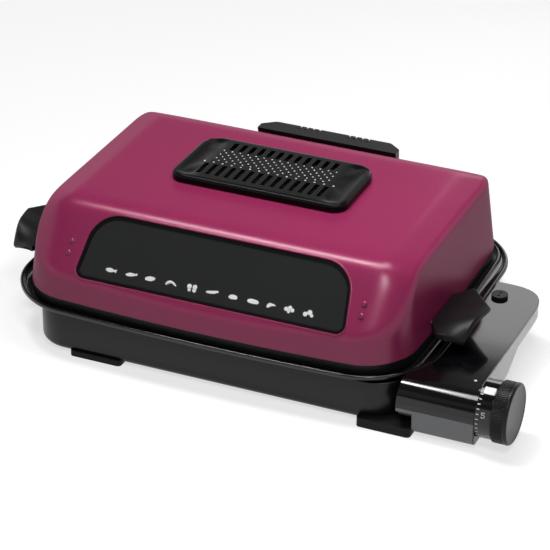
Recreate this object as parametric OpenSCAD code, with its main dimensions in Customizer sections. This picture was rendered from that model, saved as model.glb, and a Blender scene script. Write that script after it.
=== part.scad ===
// Two-sided electric fish roaster: a drop-in pan in a low body, a hinged
// windowed lid with its own heater, and a timer wing on the right.
// Sizes are in millimetres. X runs to the right, Y to the rear, Z up.

/* [Pan and rim] */
// Width of the pan's rim at its corners
rim_w = 430; // [400:1:470]
// Depth of the pan's rim at its corners
rim_d = 312; // [290:1:340]
// Corner radius of the rim
rim_r = 69; // [50:1:90]
// How far the rim's ends bow outwards
rim_bow_x = 3.4; // [0:0.1:6]
// How far the rim's front and back bow outwards
rim_bow_y = 9; // [2:0.5:12]
// Height of the rim's top above the table
rim_z = 50; // [46:1:60]
// Height of the rim's outer band
rim_band = 4.3; // [3:0.1:6]
// Width of the raised lip round the rim
lip_w = 4; // [3:0.5:6]
// Thickness of the pan's casting
pan_t = 2.5; // [2:0.1:4]
// Height of the pan's floor above the table
pan_floor_z = 25; // [23:0.5:30]

/* [Body] */
// How far the body's left end stands in from the rim
body_inset_left = 35; // [32:1:40]
// How far the body's right end stands in from the rim
body_inset_right = 15; // [13:1:20]
// How far the body's front and back stand in from the rim
body_inset_y = 1; // [0.5:0.5:6]
// Wall of the moulded body
body_t = 2.5; // [2:0.1:3.5]
// Radius of the body's lower edge
body_edge_r = 7; // [5:0.5:10]
// Height of the feet
foot_h = 3; // [2.5:0.5:4]
// Width of a foot
foot_w = 54; // [40:1:60]
// Depth of a foot
foot_d = 26; // [18:1:34]

/* [Lid] */
// How far the lid's ends stand in from the rim
lid_inset_x = 19; // [16:1:26]
// How far the lid's front and back stand in from the rim
lid_inset_y = 6.6; // [5.5:0.1:8]
// Corner radius of the lid
lid_r = 46; // [30:1:60]
// Height of the lid's painted shell
lid_h = 82.3; // [75:0.1:100]
// Gap between the rim's top and the painted shell
lid_gap = 7.7; // [6:0.1:12]
// Wall of the lid's shell
lid_t = 2; // [1.2:0.1:3]
// Width of the flat top panel
panel_w = 326; // [290:1:340]
// Depth of the flat top panel
panel_d = 207; // [190:1:220]
// Height of the upright band under the front slope
front_band = 18.5; // [14:0.5:24]
// Drop of the shallow slopes at the lid's ends
end_drop = 8.5; // [5:0.5:14]
// Radius that softens the creases between the lid's slopes
crease_soft = 4; // [2:0.5:8]

/* [Window] */
// Width of the window at its lower edge
window_w = 277; // [230:1:282]
// Length of the window along the slope
window_l = 65; // [50:1:68]
// How much narrower the window is at its upper edge
window_taper = 16; // [0:1:30]
// Radius of the window's upper corners
window_r_top = 30; // [12:1:32]
// Radius of the window's lower corners
window_r_low = 9; // [5:1:14]
// Thickness of the window glass
glass_t = 4; // [3:0.5:5]
// Width of the seal round the glass
seal_w = 3; // [2:0.5:5]

/* [Vent cover] */
// Length of the vent cover at its front edge
vent_w = 183; // [168:1:193]
// Depth of the vent cover
vent_d = 94; // [86:1:102]
// Height of the vent cover
vent_h = 9; // [7:0.5:14]
// Wall of the vent cover
vent_t = 2.5; // [1.5:0.1:3]
// Slots in the front row
vent_front_slots = 14; // [8:1:20]
// Slots in the back row
vent_back_slots = 12; // [6:1:18]

/* [Side handles] */
// Reach of a handle from the middle of the pan
handle_reach = 245; // [235:1:260]
// Length of a handle along the lid's end
handle_l = 80; // [70:1:90]
// Thickness of a handle
handle_t = 6; // [4:0.5:9]
// Height of a handle above the rim
handle_lift = 20; // [18:0.5:24]

/* [Hinge] */
// Distance of the hinge axis behind the rim's rear edge
hinge_back = 7.5; // [7:0.5:12]
// Height of the hinge axis above the rim
hinge_up = 2; // [0:0.5:3]
// Radius of the hinge knuckles
knuckle_r = 5.5; // [5:0.1:6.5]
// Radius of the hinge pins
pin_r = 2.5; // [1.5:0.1:3]
// Distance between the two hinges
hinge_span = 110; // [80:1:120]
// Width of the wiring cover behind the lid
rear_cover_w = 152; // [140:1:180]
// Depth of the wiring cover
rear_cover_d = 17; // [16:0.5:19]
// Height of the wiring cover
rear_cover_h = 60.5; // [50:0.5:64]

/* [Control wing] */
// Reach of the wing from the body's end
wing_reach = 74; // [68:1:84]
// Rear end of the wing, behind the middle of the pan
wing_rear = 63; // [50:1:70]
// Radius of the barrel along the wing's front
barrel_r = 22.5; // [21.5:0.1:22.6]
// Length of the barrel
barrel_l = 59; // [56:1:61]
// Thickness of the wing at its rear end
wing_thin = 14; // [12:0.5:20]
// Wall of the wing's shells
wing_t = 2.5; // [2:0.1:3]

/* [Timer dial] */
// Radius of the dial's grip
dial_r = 29.2; // [27:0.1:30]
// Length of the grip
grip_l = 16; // [12:0.5:20]
// Length of the numbered ring
ring_l = 14.5; // [10:0.5:18]
// Radius of the numbered ring
ring_r = 27.4; // [25:0.1:28.5]
// Radius of the timer's shaft
shaft_r = 3; // [2.5:0.1:4]

/* [Inside] */
// Radius of the sheathed heaters
heater_r = 3.5; // [3:0.1:4]
// Wires across the grill
grill_wires = 13; // [7:1:17]
// Radius of the grill's wires
wire_r = 1.6; // [1.2:0.1:2]

/* [Hidden] */

$fn = 48;
seat = 0.3;
touch = 0.1;
run_fit = 0.05;
gloss_black = "#1b1b1d";
satin_black = "#2b2b2d";
raspberry = "#a83f69";
steel = "#b9bcc0";
dark_steel = "#6b6d70";

// Rim, body and lid half sizes
rim_x = rim_w / 2;
rim_y = rim_d / 2;
body_left = rim_x - body_inset_left;
body_right = rim_x - body_inset_right;
body_x = (body_left + body_right) / 2;
body_mid = (body_right - body_left) / 2;
body_y = rim_y - body_inset_y;
body_r = rim_r - 34;
flange_z = rim_z - 3.1;
flange_low = flange_z - pan_t - 0.5;
body_top = flange_low - seat;
pan_wall_x = body_left - body_t - 3;
pan_wall_y = body_y - body_t - 4;
pan_slope = 11;
floor_low = pan_floor_z - pan_t;

lid_x = rim_x - lid_inset_x;
lid_y = rim_y - lid_inset_y;
lid_low = rim_z + lid_gap;
lid_top = lid_low + lid_h;
panel_x = panel_w / 2;
panel_y = panel_d / 2;
panel_r = 16;
panel_shift = -1.5;
front_edge = panel_shift - panel_y;
rear_edge = panel_shift + panel_y;
end_draft = 6;
front_crease_y = -(lid_y + rim_bow_y - 2);
front_crease_z = lid_low + front_band;
front_slope = (lid_top - front_crease_z) / (front_edge - front_crease_y);
front_angle = atan(front_slope);
end_slope = end_drop / (lid_x - end_draft - panel_x);
rear_slope = 0.5;
hip_slope = 1.35;
hip_reach = panel_x - front_edge + 17;

// Hinge and outer faces of the whole object
hinge_y = rim_y + rim_bow_y + hinge_back;
hinge_z = rim_z + hinge_up;
barrel_x1 = body_right + wing_reach;
barrel_x0 = barrel_x1 - barrel_l;
dial_y = -(rim_y - 21);
dial_z = 33;
ring_gap = 1.5;
ring_x = barrel_x1 + ring_gap;
grip_x = ring_x + ring_l;
dial_face = grip_x + grip_l;
shift_x = (handle_reach - dial_face) / 2;
shift_y = (rim_y + rim_bow_y - hinge_y - knuckle_r) / 2;

// Outline of a rounded rectangle whose sides bow outwards, anticlockwise.
// Every outline has the same number of points, so outlines can be joined into skins.
ARC = 8;
SIDE = 6;
function sum(v, i = 0) = i >= len(v) ? 0 : v[i] + sum(v, i + 1);
function corner(cx, cy, r, a0) = [for (i = [0:ARC]) let (a = a0 + 90 * i / ARC)
    [cx + r * cos(a), cy + r * sin(a)]];
function between(p, q) = [for (i = [1:SIDE - 1]) p + (q - p) * i / SIDE];
function bowed(p, hx, hy, bx, by) = [
    p.x + bx * max(0, 1 - pow(p.y / hy, 2)) * p.x / hx,
    p.y + by * max(0, 1 - pow(p.x / hx, 2)) * p.y / hy
];
function outline(hx, hy, r, bx = 0, by = 0) = let (
    c = [corner(hx - r, hy - r, r, 0), corner(r - hx, hy - r, r, 90),
         corner(r - hx, r - hy, r, 180), corner(hx - r, r - hy, r, 270)],
    pts = [for (k = [0:3]) each concat(c[k], between(c[k][ARC], c[(k + 1) % 4][0]))]
) [for (p = pts) bowed(p, hx, hy, bx, by)];
function at_z(pts, z) = [for (p = pts) [p.x, p.y, z]];
function rim_outline(inset) =
    outline(rim_x - inset, rim_y - inset, rim_r - inset, rim_bow_x, rim_bow_y);

function middle(r) = [for (k = [0:2]) sum([for (p = r) p[k]]) / len(r)];
// Triangles between two rings of n points that start at points a and b
function band(a, b, n) = [for (i = [0:n - 1]) let (j = (i + 1) % n)
    each [[a + i, b + i, a + j], [b + i, b + j, a + j]]];
// Closed skin through a list of rings, with both ends closed by fans from their middle
module skin(rings) {
    n = len(rings[0]);
    last = (len(rings) - 1) * n;
    low_mid = len(rings) * n;
    high_mid = low_mid + 1;
    polyhedron(
        points = concat([for (r = rings) each r], [middle(rings[0]), middle(rings[len(rings) - 1])]),
        faces = concat(
            [for (k = [0:len(rings) - 2]) each band(k * n, (k + 1) * n, n)],
            [for (i = [0:n - 1]) [low_mid, i, (i + 1) % n]],
            [for (i = [0:n - 1]) [high_mid, last + (i + 1) % n, last + i]]
        ),
        convexity = 8
    );
}
// Skin whose last ring joins its first, for a frame with a hole through it
module loop_skin(rings) {
    n = len(rings[0]);
    m = len(rings);
    polyhedron(
        points = [for (r = rings) each r],
        faces = [for (k = [0:m - 1]) each band(k * n, ((k + 1) % m) * n, n)],
        convexity = 8
    );
}
module placed() { translate([shift_x, shift_y, 0]) children(); }
module along_x(x0, x1) { translate([x0, 0, 0]) rotate([90, 0, 90]) linear_extrude(x1 - x0) children(); }
module rod_x(x0, x1, r) { translate([x0, 0, 0]) rotate([0, 90, 0]) cylinder(h = x1 - x0, r = r); }

// ---- Body ----
foot_y = body_y - foot_d / 2 + 2;
foot_x = 109.6;
foot_corner_w = foot_w - 1;
foot_corner_x = barrel_x0 - 1.5 * seat - foot_corner_w / 2;
foot_r = 4;
foot_corner_y = foot_y + 6;
foot_rise = 3;
foot_corner_rise = 6.4;
body_z = foot_h;
floor_top = body_z + body_t;
// Ring of the tub at a depth inside its outer skin
function body_outline(inset) = [for (p = outline(body_x - inset, body_y - inset, body_r - inset))
    [p.x + body_mid, p.y]];
function tub_ring(inset, edge, z) = at_z(body_outline(inset + edge), z);
function tub_arc(inset, steps) = let (r = body_edge_r - inset)
    [for (i = [0:steps]) let (a = 90 * i / steps) tub_ring(inset, r * (1 - sin(a)), body_z + inset + r * (1 - cos(a)))];
function reversed(l) = [for (i = [len(l) - 1:-1:0]) l[i]];

access_in = 44;
heater_pitch = 52;
access_x = body_left - access_in;
access_y = 2 * heater_pitch + 1;
screw_head_r = 3.2;
screw_r = 1.6;
plate_lap = 12;
module bottom_screw_places() {
    for (x = [-1, 1], y = [-1, 1])
        translate([x * (access_x + plate_lap / 2), y * (access_y - 12), 0]) children();
}
module body_tub() placed() color(satin_black) {
    difference() {
        skin(concat(tub_arc(0, 4), [tub_ring(0, 0, body_top), tub_ring(body_t, 0, body_top)],
            reversed(tub_arc(body_t, 4))));
        translate([0, 0, body_z - 1]) linear_extrude(body_t + 2)
            square([2 * access_x, 2 * access_y], center = true);
        bottom_screw_places() translate([0, 0, body_z - 1]) cylinder(h = body_t + 2, r = screw_r + run_fit);
        // Lead way from the tub into the wing
        translate([0, lead_y, lead_z]) rod_x(body_right - 2 * body_t, body_right + body_t, lead_r);
        for (side = [-1, 1]) bracket_screws(side, screw_r + run_fit);
    }
}
lead_y = -40;
lead_z = 34;
lead_r = 5;

plate_t = 1.2;
module bottom_plate() placed() color(dark_steel) {
    difference() {
        translate([0, 0, body_z - plate_t - 0.1]) linear_extrude(plate_t)
            square([2 * (access_x + plate_lap), 2 * (access_y + plate_lap)], center = true);
        bottom_screw_places() cylinder(h = body_z + 1, r = screw_r + run_fit);
        for (i = [-4:4])
            translate([i * 22, 0, 0]) linear_extrude(body_z) square([5, 60], center = true);
    }
}
module bottom_screws() placed() color(steel) {
    bottom_screw_places() translate([0, 0, body_z - plate_t - 0.2]) {
        translate([0, 0, -1.1]) cylinder(h = 1.1, r = screw_head_r);
        cylinder(h = plate_t + body_t + 0.1, r = screw_r);
    }
}
// Feet wrap the outside of the tub's rounded lower edge
module foot(x, y, width, rise) placed() color(gloss_black)
    difference() {
        translate([x, y, 0]) linear_extrude(body_z + rise) polygon(outline(width / 2, foot_d / 2, foot_r));
        skin(concat(tub_arc(-touch, 4), [tub_ring(-touch, 0, body_top)]));
    }
module foot_front_left() { foot(-foot_x, -foot_y, foot_w, foot_rise); }
module foot_front_right() { foot(foot_corner_x, -foot_corner_y, foot_corner_w, foot_corner_rise); }
module foot_rear_left() { foot(-foot_x, foot_y, foot_w, foot_rise); }
module foot_rear_right() { foot(foot_x, foot_y, foot_w, foot_rise); }

// ---- Pan and grill ----
function pan_ring(hx, hy, z) = at_z(outline(hx, hy, lid_r, rim_bow_x / 2, rim_bow_y / 4), z);
ridge_h = 1.7;
ridge_x = lid_x + 2;
ridge_y = lid_y + 0.8;
function ridge_ring(grow, z) =
    at_z(outline(ridge_x + grow, ridge_y + grow / 3, lid_r + grow / 3, rim_bow_x, rim_bow_y), z);
module roasting_pan() placed() color(gloss_black)
    skin([
        pan_ring(pan_wall_x - pan_slope, pan_wall_y - pan_slope, floor_low),
        pan_ring(pan_wall_x - pan_slope / 2, pan_wall_y - pan_slope / 2, floor_low + 4),
        pan_ring(pan_wall_x, pan_wall_y, flange_low),
        at_z(rim_outline(4), flange_low),
        at_z(rim_outline(3), rim_z - rim_band),
        at_z(rim_outline(0.6), rim_z - rim_band),
        at_z(rim_outline(0), rim_z - rim_band + 0.8),
        at_z(rim_outline(0), rim_z - 1.2),
        at_z(rim_outline(1), rim_z),
        at_z(rim_outline(lip_w - 1.2), rim_z),
        at_z(rim_outline(lip_w), flange_z),
        ridge_ring(5, flange_z),
        ridge_ring(4, flange_z + ridge_h),
        ridge_ring(2, flange_z + ridge_h),
        ridge_ring(1, flange_z),
        pan_ring(pan_wall_x - pan_t, pan_wall_y - pan_t, flange_z),
        pan_ring(pan_wall_x - pan_slope / 2 - pan_t, pan_wall_y - pan_slope / 2 - pan_t, pan_floor_z + 4),
        pan_ring(pan_wall_x - pan_slope - pan_t, pan_wall_y - pan_slope - pan_t, pan_floor_z)
    ]);

grill_x = pan_wall_x - pan_slope - pan_t - 6;
grill_y = pan_wall_y - pan_slope - pan_t - 6;
grill_r = 24;
grill_top = pan_floor_z + 17.1;
frame_r = 2.4;
rod_z = grill_top - wire_r;
grill_frame_z = rod_z - wire_r - touch - frame_r;
rod_reach = grill_x - 14;
cross_reach = grill_x - frame_r - touch;
leg_x = grill_x - 45;
// Closed loop of round rod
module rod_loop(hx, hy, r, rod) {
    for (sx = [-1, 1], sy = [-1, 1])
        mirror([sx < 0 ? 1 : 0, 0, 0]) mirror([0, sy < 0 ? 1 : 0, 0])
            translate([hx - r, hy - r, 0]) rotate_extrude(angle = 90) translate([r, 0]) circle(r = rod);
    for (s = [-1, 1]) {
        translate([0, s * hy, 0]) rod_x(-(hx - r), hx - r, rod);
        translate([s * hx, hy - r, 0]) rotate([90, 0, 0]) cylinder(h = 2 * (hy - r), r = rod);
    }
}
module grill_frame() placed() color(steel)
    translate([0, 0, grill_frame_z]) rod_loop(grill_x, grill_y, grill_r, frame_r);
// Long wires on top of the frame, and two cross wires under them
module grill_rods() placed() color(steel) {
    pitch = 2 * rod_reach / (grill_wires - 1);
    for (i = [0:grill_wires - 1])
        translate([i * pitch - rod_reach, grill_y, rod_z]) rotate([90, 0, 0]) cylinder(h = 2 * grill_y, r = wire_r);
    for (s = [-1, 1])
        translate([0, s * grill_y / 2, rod_z - 2 * wire_r - touch]) rod_x(-cross_reach, cross_reach, wire_r);
}
// Legs under the frame's long sides, with hollowed tops for the rod
module grill_legs() placed() color(steel)
    difference() {
        for (x = [-1, 1], y = [-1, 1])
            translate([x * leg_x, y * grill_y, pan_floor_z + touch])
                cylinder(h = grill_frame_z - pan_floor_z - touch, r = frame_r + 1);
        for (s = [-1, 1])
            translate([0, s * grill_y, grill_frame_z]) rod_x(-grill_x, grill_x, frame_r + run_fit);
    }

// ---- Lower heater bay ----
lower_plate_z = floor_top + seat;
lower_plate_t = 1;
lower_heater_z = lower_plate_z + lower_plate_t + 6;
heater_bend = heater_pitch / 2;
lower_heater_x = access_x - heater_bend;
// Sheathed heater bent into four runs, with both ends at the right
module serpentine(reach, pitch) {
    r = pitch / 2;
    for (i = [0:3])
        translate([0, (i - 1.5) * pitch, 0]) rod_x(-reach, i == 0 || i == 3 ? reach + r : reach, heater_r);
    for (i = [0, 2])
        translate([-reach, (i - 1) * pitch, 0]) rotate([0, 0, 90]) rotate_extrude(angle = 180)
            translate([r, 0]) circle(r = heater_r);
    translate([reach, 0, 0]) rotate([0, 0, -90]) rotate_extrude(angle = 180) translate([r, 0]) circle(r = heater_r);
}
module lower_reflector() placed() color(steel)
    translate([0, 0, lower_plate_z]) difference() {
        union() {
            linear_extrude(lower_plate_t) square([2 * (access_x + 10), 2 * (access_y + 10)], center = true);
            // Upturned ends
            for (s = [-1, 1]) translate([s * (access_x + 10 - 0.5), 0, 0])
                linear_extrude(7) square([1, 2 * access_y], center = true);
        }
        for (i = [-3:3]) translate([i * 30, access_y - 10, -1]) cylinder(h = 4, r = 2.5);
    }
module lower_heater() placed() color(dark_steel)
    translate([0, 0, lower_heater_z]) serpentine(lower_heater_x, heater_pitch);
// Saddle that holds one run of a heater off its plate
module saddle(height) {
    difference() {
        translate([-4, -heater_r - 2.5, 0]) cube([8, 2 * heater_r + 5, height]);
        translate([0, 0, height]) rod_x(-5, 5, heater_r + run_fit);
    }
}
module lower_heater_clips() placed() color(steel)
    for (x = [-0.64, 0.64] * lower_heater_x, i = [0:3])
        translate([x, (i - 1.5) * heater_pitch, lower_plate_z + lower_plate_t]) saddle(6);
sensor_r = 8;
module pan_thermostat() placed() color(steel) {
    h = floor_low - seat - lower_plate_z - lower_plate_t;
    translate([20, 0, lower_plate_z + lower_plate_t]) {
        cylinder(h = h - 3, r = sensor_r);
        cylinder(h = h, r = sensor_r - 3);
    }
}
module thermal_fuse() placed() color("#d8d2c4")
    translate([60, 0, lower_plate_z + lower_plate_t]) {
        translate([-9, -4, 0]) cube([18, 8, 1.2]);
        translate([0, 0, 3.6]) rod_x(-7, 7, 2.4);
    }

// ---- Hinge ----
ear_t = 4;
arm_w = 14;
ear_gap = 0.4;
bracket_w = arm_w + 2 * ear_gap + 2 * ear_t;
bracket_low = body_top - 22;
module bracket_screws(side, r) {
    for (z = [body_top - 17, body_top - 6])
        translate([side * hinge_span / 2, body_y + bracket_plate + 0.1, z]) rotate([90, 0, 0])
            cylinder(h = bracket_plate + body_t + 3, r = r);
}
bracket_plate = 2.5;
// Side view of a hinge ear: from the tub's rear wall, under the rim, up to the pin
module ear_profile() {
    translate([hinge_y, hinge_z]) circle(r = knuckle_r);
    polygon([
        [body_y + 0.1, bracket_low], [body_y + 0.1, body_top - 2],
        [hinge_y - knuckle_r, body_top - 2], [hinge_y - knuckle_r, hinge_z],
        [hinge_y + knuckle_r, hinge_z], [hinge_y + knuckle_r, body_top - 6], [hinge_y - 4, bracket_low]
    ]);
}
module hinge_bracket(side) placed() color(satin_black)
    difference() {
        translate([side * hinge_span / 2, 0, 0]) {
            for (s = [-1, 1]) translate([s * (bracket_w - ear_t) / 2, 0, 0])
                along_x(-ear_t / 2, ear_t / 2) ear_profile();
            translate([-bracket_w / 2, body_y + 0.1, bracket_low])
                cube([bracket_w, bracket_plate, body_top - 2 - bracket_low]);
        }
        translate([side * hinge_span / 2, hinge_y, hinge_z]) rod_x(-bracket_w, bracket_w, pin_r + 0.02);
        bracket_screws(side, screw_r + run_fit);
    }
module hinge_bracket_left() { hinge_bracket(-1); }
module hinge_bracket_right() { hinge_bracket(1); }
module hinge_pin(side) placed() color(steel)
    translate([side * hinge_span / 2, hinge_y, hinge_z]) {
        rod_x(-bracket_w / 2 - 1.5, bracket_w / 2 + 1.5, pin_r);
        rod_x(bracket_w / 2 + 0.1, bracket_w / 2 + 1.5, pin_r + 1.2);
    }
module hinge_pin_left() { hinge_pin(-1); }
module hinge_pin_right() { hinge_pin(1); }

// ---- Control wing ----
wing_x0 = body_right + seat;
wing_z = rim_z;
barrel_y = dial_y - 2;
barrel_z = wing_z - barrel_r;
barrel_low = 4;
barrel_edge_r = 6;
wing_front = barrel_y - barrel_r;
wing_edge = barrel_x1 - 4.3;
function curve(a, b, c, n) = [for (i = [0:n]) let (t = i / n)
    a * (1 - t) * (1 - t) + b * 2 * t * (1 - t) + c * t * t];
wing_turn = 36;
function wing_plan(inset) = concat(
    [[wing_x0, -rim_y], [wing_edge - inset, -rim_y]],
    curve([wing_edge - inset, wing_rear - wing_turn], [wing_edge - inset, wing_rear - inset],
          [wing_edge - wing_turn, wing_rear - inset], 10),
    [[wing_x0, wing_rear - inset]]
);
wing_knee_y = -24;
wing_knee = 28;
// Underside of the wing from the barrel to its rear end, as [y, z] pairs
wing_floor = [
    [barrel_y, barrel_low + 6], [barrel_y + barrel_r, barrel_low + 6],
    [wing_knee_y - wing_knee, wing_z - wing_thin - 16], [wing_knee_y, wing_z - wing_thin - 2],
    [wing_rear + 5, wing_z - wing_thin]
];
module wing_side(inset) polygon(concat(
    [for (p = wing_floor) [p.x, p.y + inset]],
    [[wing_rear + 5, wing_z - inset], [barrel_y, wing_z - inset]]
));
top_lip = 2.5;
trim_t = 2.2;
rim_clear = 1.2;
// End view of the barrel: round on top, with upright sides and small radii below
module barrel_profile(inset) {
    half = barrel_r - barrel_edge_r;
    translate([barrel_y, barrel_z]) circle(r = barrel_r - inset);
    translate([barrel_y - half, barrel_low + inset]) square([2 * half, barrel_r]);
    translate([barrel_y - barrel_r + inset, barrel_low + barrel_edge_r])
        square([2 * (barrel_r - inset), barrel_z - barrel_low - barrel_edge_r]);
    for (s = [-1, 1])
        translate([barrel_y + s * half, barrel_low + barrel_edge_r]) circle(r = barrel_edge_r - inset);
}
module barrel_form(inset) { along_x(barrel_x0 + inset, barrel_x1) barrel_profile(inset); }
// Neck between the body's corner and the barrel: level with the barrel on top,
// but shallower underneath
neck_step = 5;
neck_x0 = body_right - 1;
module neck_form(inset) {
    difference() {
        translate([0, barrel_y, barrel_z]) {
            rod_x(neck_x0 + inset, barrel_x0 + 5, barrel_r - neck_step - inset);
            intersection() {
                rod_x(neck_x0 + inset, barrel_x0 + 5, barrel_r - inset);
                translate([neck_x0, -barrel_r, -4]) cube([wing_reach, 2 * barrel_r, wing_z]);
            }
        }
        linear_extrude(wing_z + 1) polygon(body_outline(-seat - inset));
    }
}
module wing_form(inset) {
    intersection() {
        along_x(wing_x0 + inset, barrel_x1 + 5) wing_side(inset);
        linear_extrude(wing_z + 1) polygon(wing_plan(inset + trim_t + 0.1));
    }
    barrel_form(inset);
    neck_form(inset);
}
module top_plate() {
    intersection() {
        along_x(wing_x0, barrel_x1 + 5) polygon([
            [barrel_y, wing_z - top_lip], [barrel_y, wing_z], [wing_rear + 5, wing_z], [wing_rear + 5, wing_z - top_lip]
        ]);
        linear_extrude(wing_z + 1) polygon(wing_plan(0));
    }
}
module rim_way() {
    translate([0, 0, flange_low - 1]) linear_extrude(20) polygon(rim_outline(-rim_clear));
}
// Everything below the parting plane belongs to the lower shell
module lower_zone(shift) along_x(body_right - body_r, barrel_x1 + 10) polygon([
    [wing_front - 5, -1], [wing_front - 5, barrel_z + shift], [barrel_y + barrel_r + 2, barrel_z + shift],
    [wing_knee_y, wing_z - wing_thin + wing_t + shift], [wing_rear + 10, wing_z - wing_thin + wing_t + shift],
    [wing_rear + 10, -1]
]);
module shaft_way(r) { translate([0, dial_y, dial_z]) rod_x(barrel_x1 - 30, barrel_x1 + 10, r); }
module wing_shell() {
    difference() {
        union() {
            wing_form(0);
            top_plate();
        }
        wing_form(wing_t);
        along_x(barrel_x1 - 10, barrel_x1 + 1) barrel_profile(wing_t);
        rim_way();
        translate([0, lead_y, lead_z]) rod_x(wing_x0 - 5, wing_x0 + 5, lead_r);
    }
}
module wing_top() placed() color(gloss_black)
    difference() {
        union() {
            difference() {
                wing_shell();
                lower_zone(touch);
            }
            wing_posts();
        }
        translate([dot_x, dot_y, wing_z - 1]) cylinder(h = 2, r = dot_r + run_fit);
        seat_hole();
        gland_hole();
        wing_screw_places() cylinder(h = wing_z - top_lip - 2, r = screw_r + run_fit);
    }
module wing_bottom() placed() color("#8c8d90")
    difference() {
        intersection() {
            wing_shell();
            lower_zone(0);
        }
        gland_hole();
        wing_screw_places() cylinder(h = wing_z, r = screw_r + run_fit);
    }
module wing_side_trim() placed() color("#cfd0d2")
    intersection() {
        difference() {
            linear_extrude(wing_z - top_lip - 0.1) polygon(wing_plan(0.4));
            translate([0, 0, -1]) linear_extrude(wing_z + 2) polygon(wing_plan(trim_t));
            gland_hole();
        }
        along_x(wing_x0 + 30, barrel_x1 + 5) wing_side(0.3);
        translate([0, barrel_y + barrel_r + 0.3, 0]) cube([barrel_x1 + 20, 400, 100]);
    }
module barrel_end_cap() placed() color(gloss_black)
    difference() {
        union() {
            along_x(barrel_x1 - 4, barrel_x1 + touch) barrel_profile(wing_t + touch);
            along_x(barrel_x1 + touch, barrel_x1 + 0.8) barrel_profile(0.6);
        }
        translate([0, dial_y, dial_z]) rod_x(barrel_x1 - 10, barrel_x1 + 5, nose_r + seat);
    }
dot_x = barrel_x1 - 12.5;
dot_y = barrel_y + 16;
dot_r = 1.3;
module dial_index_dot() placed() color("white")
    translate([dot_x, dot_y, wing_z - 1]) cylinder(h = 1.1, r = dot_r);
// Raised seat where the lid's plug-in contacts land when the lid is shut
seat_x = rim_x + rim_bow_x + 11.6;
seat_y = wing_rear - 28;
module seat_hole() { translate([seat_x, seat_y, wing_z - 5]) cylinder(h = 10, r = 5.05); }
module lid_contact_seat() placed() color(satin_black)
    difference() {
        union() {
            translate([seat_x, seat_y, wing_z + 0.1]) cylinder(h = 3, r = 8);
            translate([seat_x, seat_y, wing_z - 4]) cylinder(h = 4.2, r = 5);
        }
        for (s = [-1, 1]) translate([seat_x, seat_y + 3 * s, wing_z - 1]) cylinder(h = 10, r = 1.1);
    }
nose_r = 5;
timer_r = 14;
timer_x0 = barrel_x1 - 42;
module timer_movement() placed() color("#d9d4c8")
    difference() {
        union() {
            translate([0, dial_y - 1.5, barrel_z]) rod_x(timer_x0, barrel_x1 - 8, timer_r);
            translate([0, dial_y, dial_z]) rod_x(barrel_x1 - 10, barrel_x1 - 2, nose_r);
            // Bracket feet down onto the lower shell
            for (x = [timer_x0 + 4, barrel_x1 - 14])
                translate([x, dial_y - 7, barrel_low + wing_t + touch]) cube([4, 10, 9]);
        }
        translate([0, dial_y, dial_z]) rod_x(timer_x0 + 12, barrel_x1 + 1, shaft_r + run_fit);
    }
terminal_w = 16;
terminal_l = 30;
terminal_h = 9;
module terminal_block() placed() color("#e8e2d0") {
    x = rim_x + 9;
    y = wing_rear - 95;
    z = wing_z - wing_t - seat - terminal_h;
    difference() {
        translate([x, y, z]) cube([terminal_w, terminal_l, terminal_h]);
        for (i = [-1:1])
            translate([x + terminal_w / 2, y + terminal_l / 2 + 9 * i, z - 1]) cylinder(h = terminal_h + 2, r = 2);
    }
}
gland_x = rim_x + 13;
gland_r = 5.5;
gland_z = wing_z - wing_thin / 2 - 0.5;
module gland_hole() { translate([gland_x, wing_rear - 10, gland_z]) rotate([-90, 0, 0]) cylinder(h = 20, r = 4.55); }
module cord_gland() placed() color(gloss_black)
    translate([gland_x, wing_rear, gland_z]) rotate([-90, 0, 0])
        difference() {
            union() {
                translate([0, 0, 0.1]) cylinder(h = 3, r = gland_r);
                translate([0, 0, -4]) cylinder(h = 4.2, r = 4.5);
            }
            translate([0, 0, -5]) cylinder(h = 10, r = 3.3);
        }
wing_screw_xy = [
    [barrel_x1 - 20, wing_rear - 22], [barrel_x1 - 16, wing_knee_y - 46], [rim_x + 15, barrel_y + 2 * barrel_r]
];
module wing_screw_places() { for (p = wing_screw_xy) translate(p) children(); }
post_r = 4;
// Posts under the wing's top that take the screws through the lower shell
module wing_posts()
    for (p = wing_screw_xy) {
        low = lookup(p.y, wing_floor) + wing_t + 0.9;
        translate([p.x, p.y, low]) cylinder(h = wing_z - 1 - low, r = post_r);
    }
module wing_screws() placed() color(steel)
    for (p = wing_screw_xy)
        translate([p.x, p.y, lookup(p.y, wing_floor) - 1.6]) {
            cylinder(h = 1, r = screw_head_r);
            cylinder(h = 10, r = screw_r);
        }

// ---- Timer dial ----
module on_dial_axis() { translate([0, dial_y, dial_z]) children(); }
module timer_shaft() placed() color(steel)
    on_dial_axis() rod_x(timer_x0 + 14, dial_face - 5, shaft_r);
module dial_ring() placed() color(gloss_black)
    on_dial_axis() difference() {
        rod_x(ring_x, grip_x - 0.1, ring_r);
        rod_x(ring_x - 1, grip_x + 1, shaft_r + 4);
    }
module dial_grip() placed() color(satin_black)
    on_dial_axis() difference() {
        rotate([90, 0, 90]) rotate_extrude() polygon([
            [0, ring_x + 2], [shaft_r + 3.9, ring_x + 2], [shaft_r + 3.9, grip_x], [dial_r - 0.8, grip_x],
            [dial_r, grip_x + 0.8], [dial_r, dial_face - 2.5], [dial_r - 2.5, dial_face], [0, dial_face]
        ]);
        rod_x(ring_x, dial_face - 5 + 0.1, shaft_r + 0.02);
    }

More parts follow.
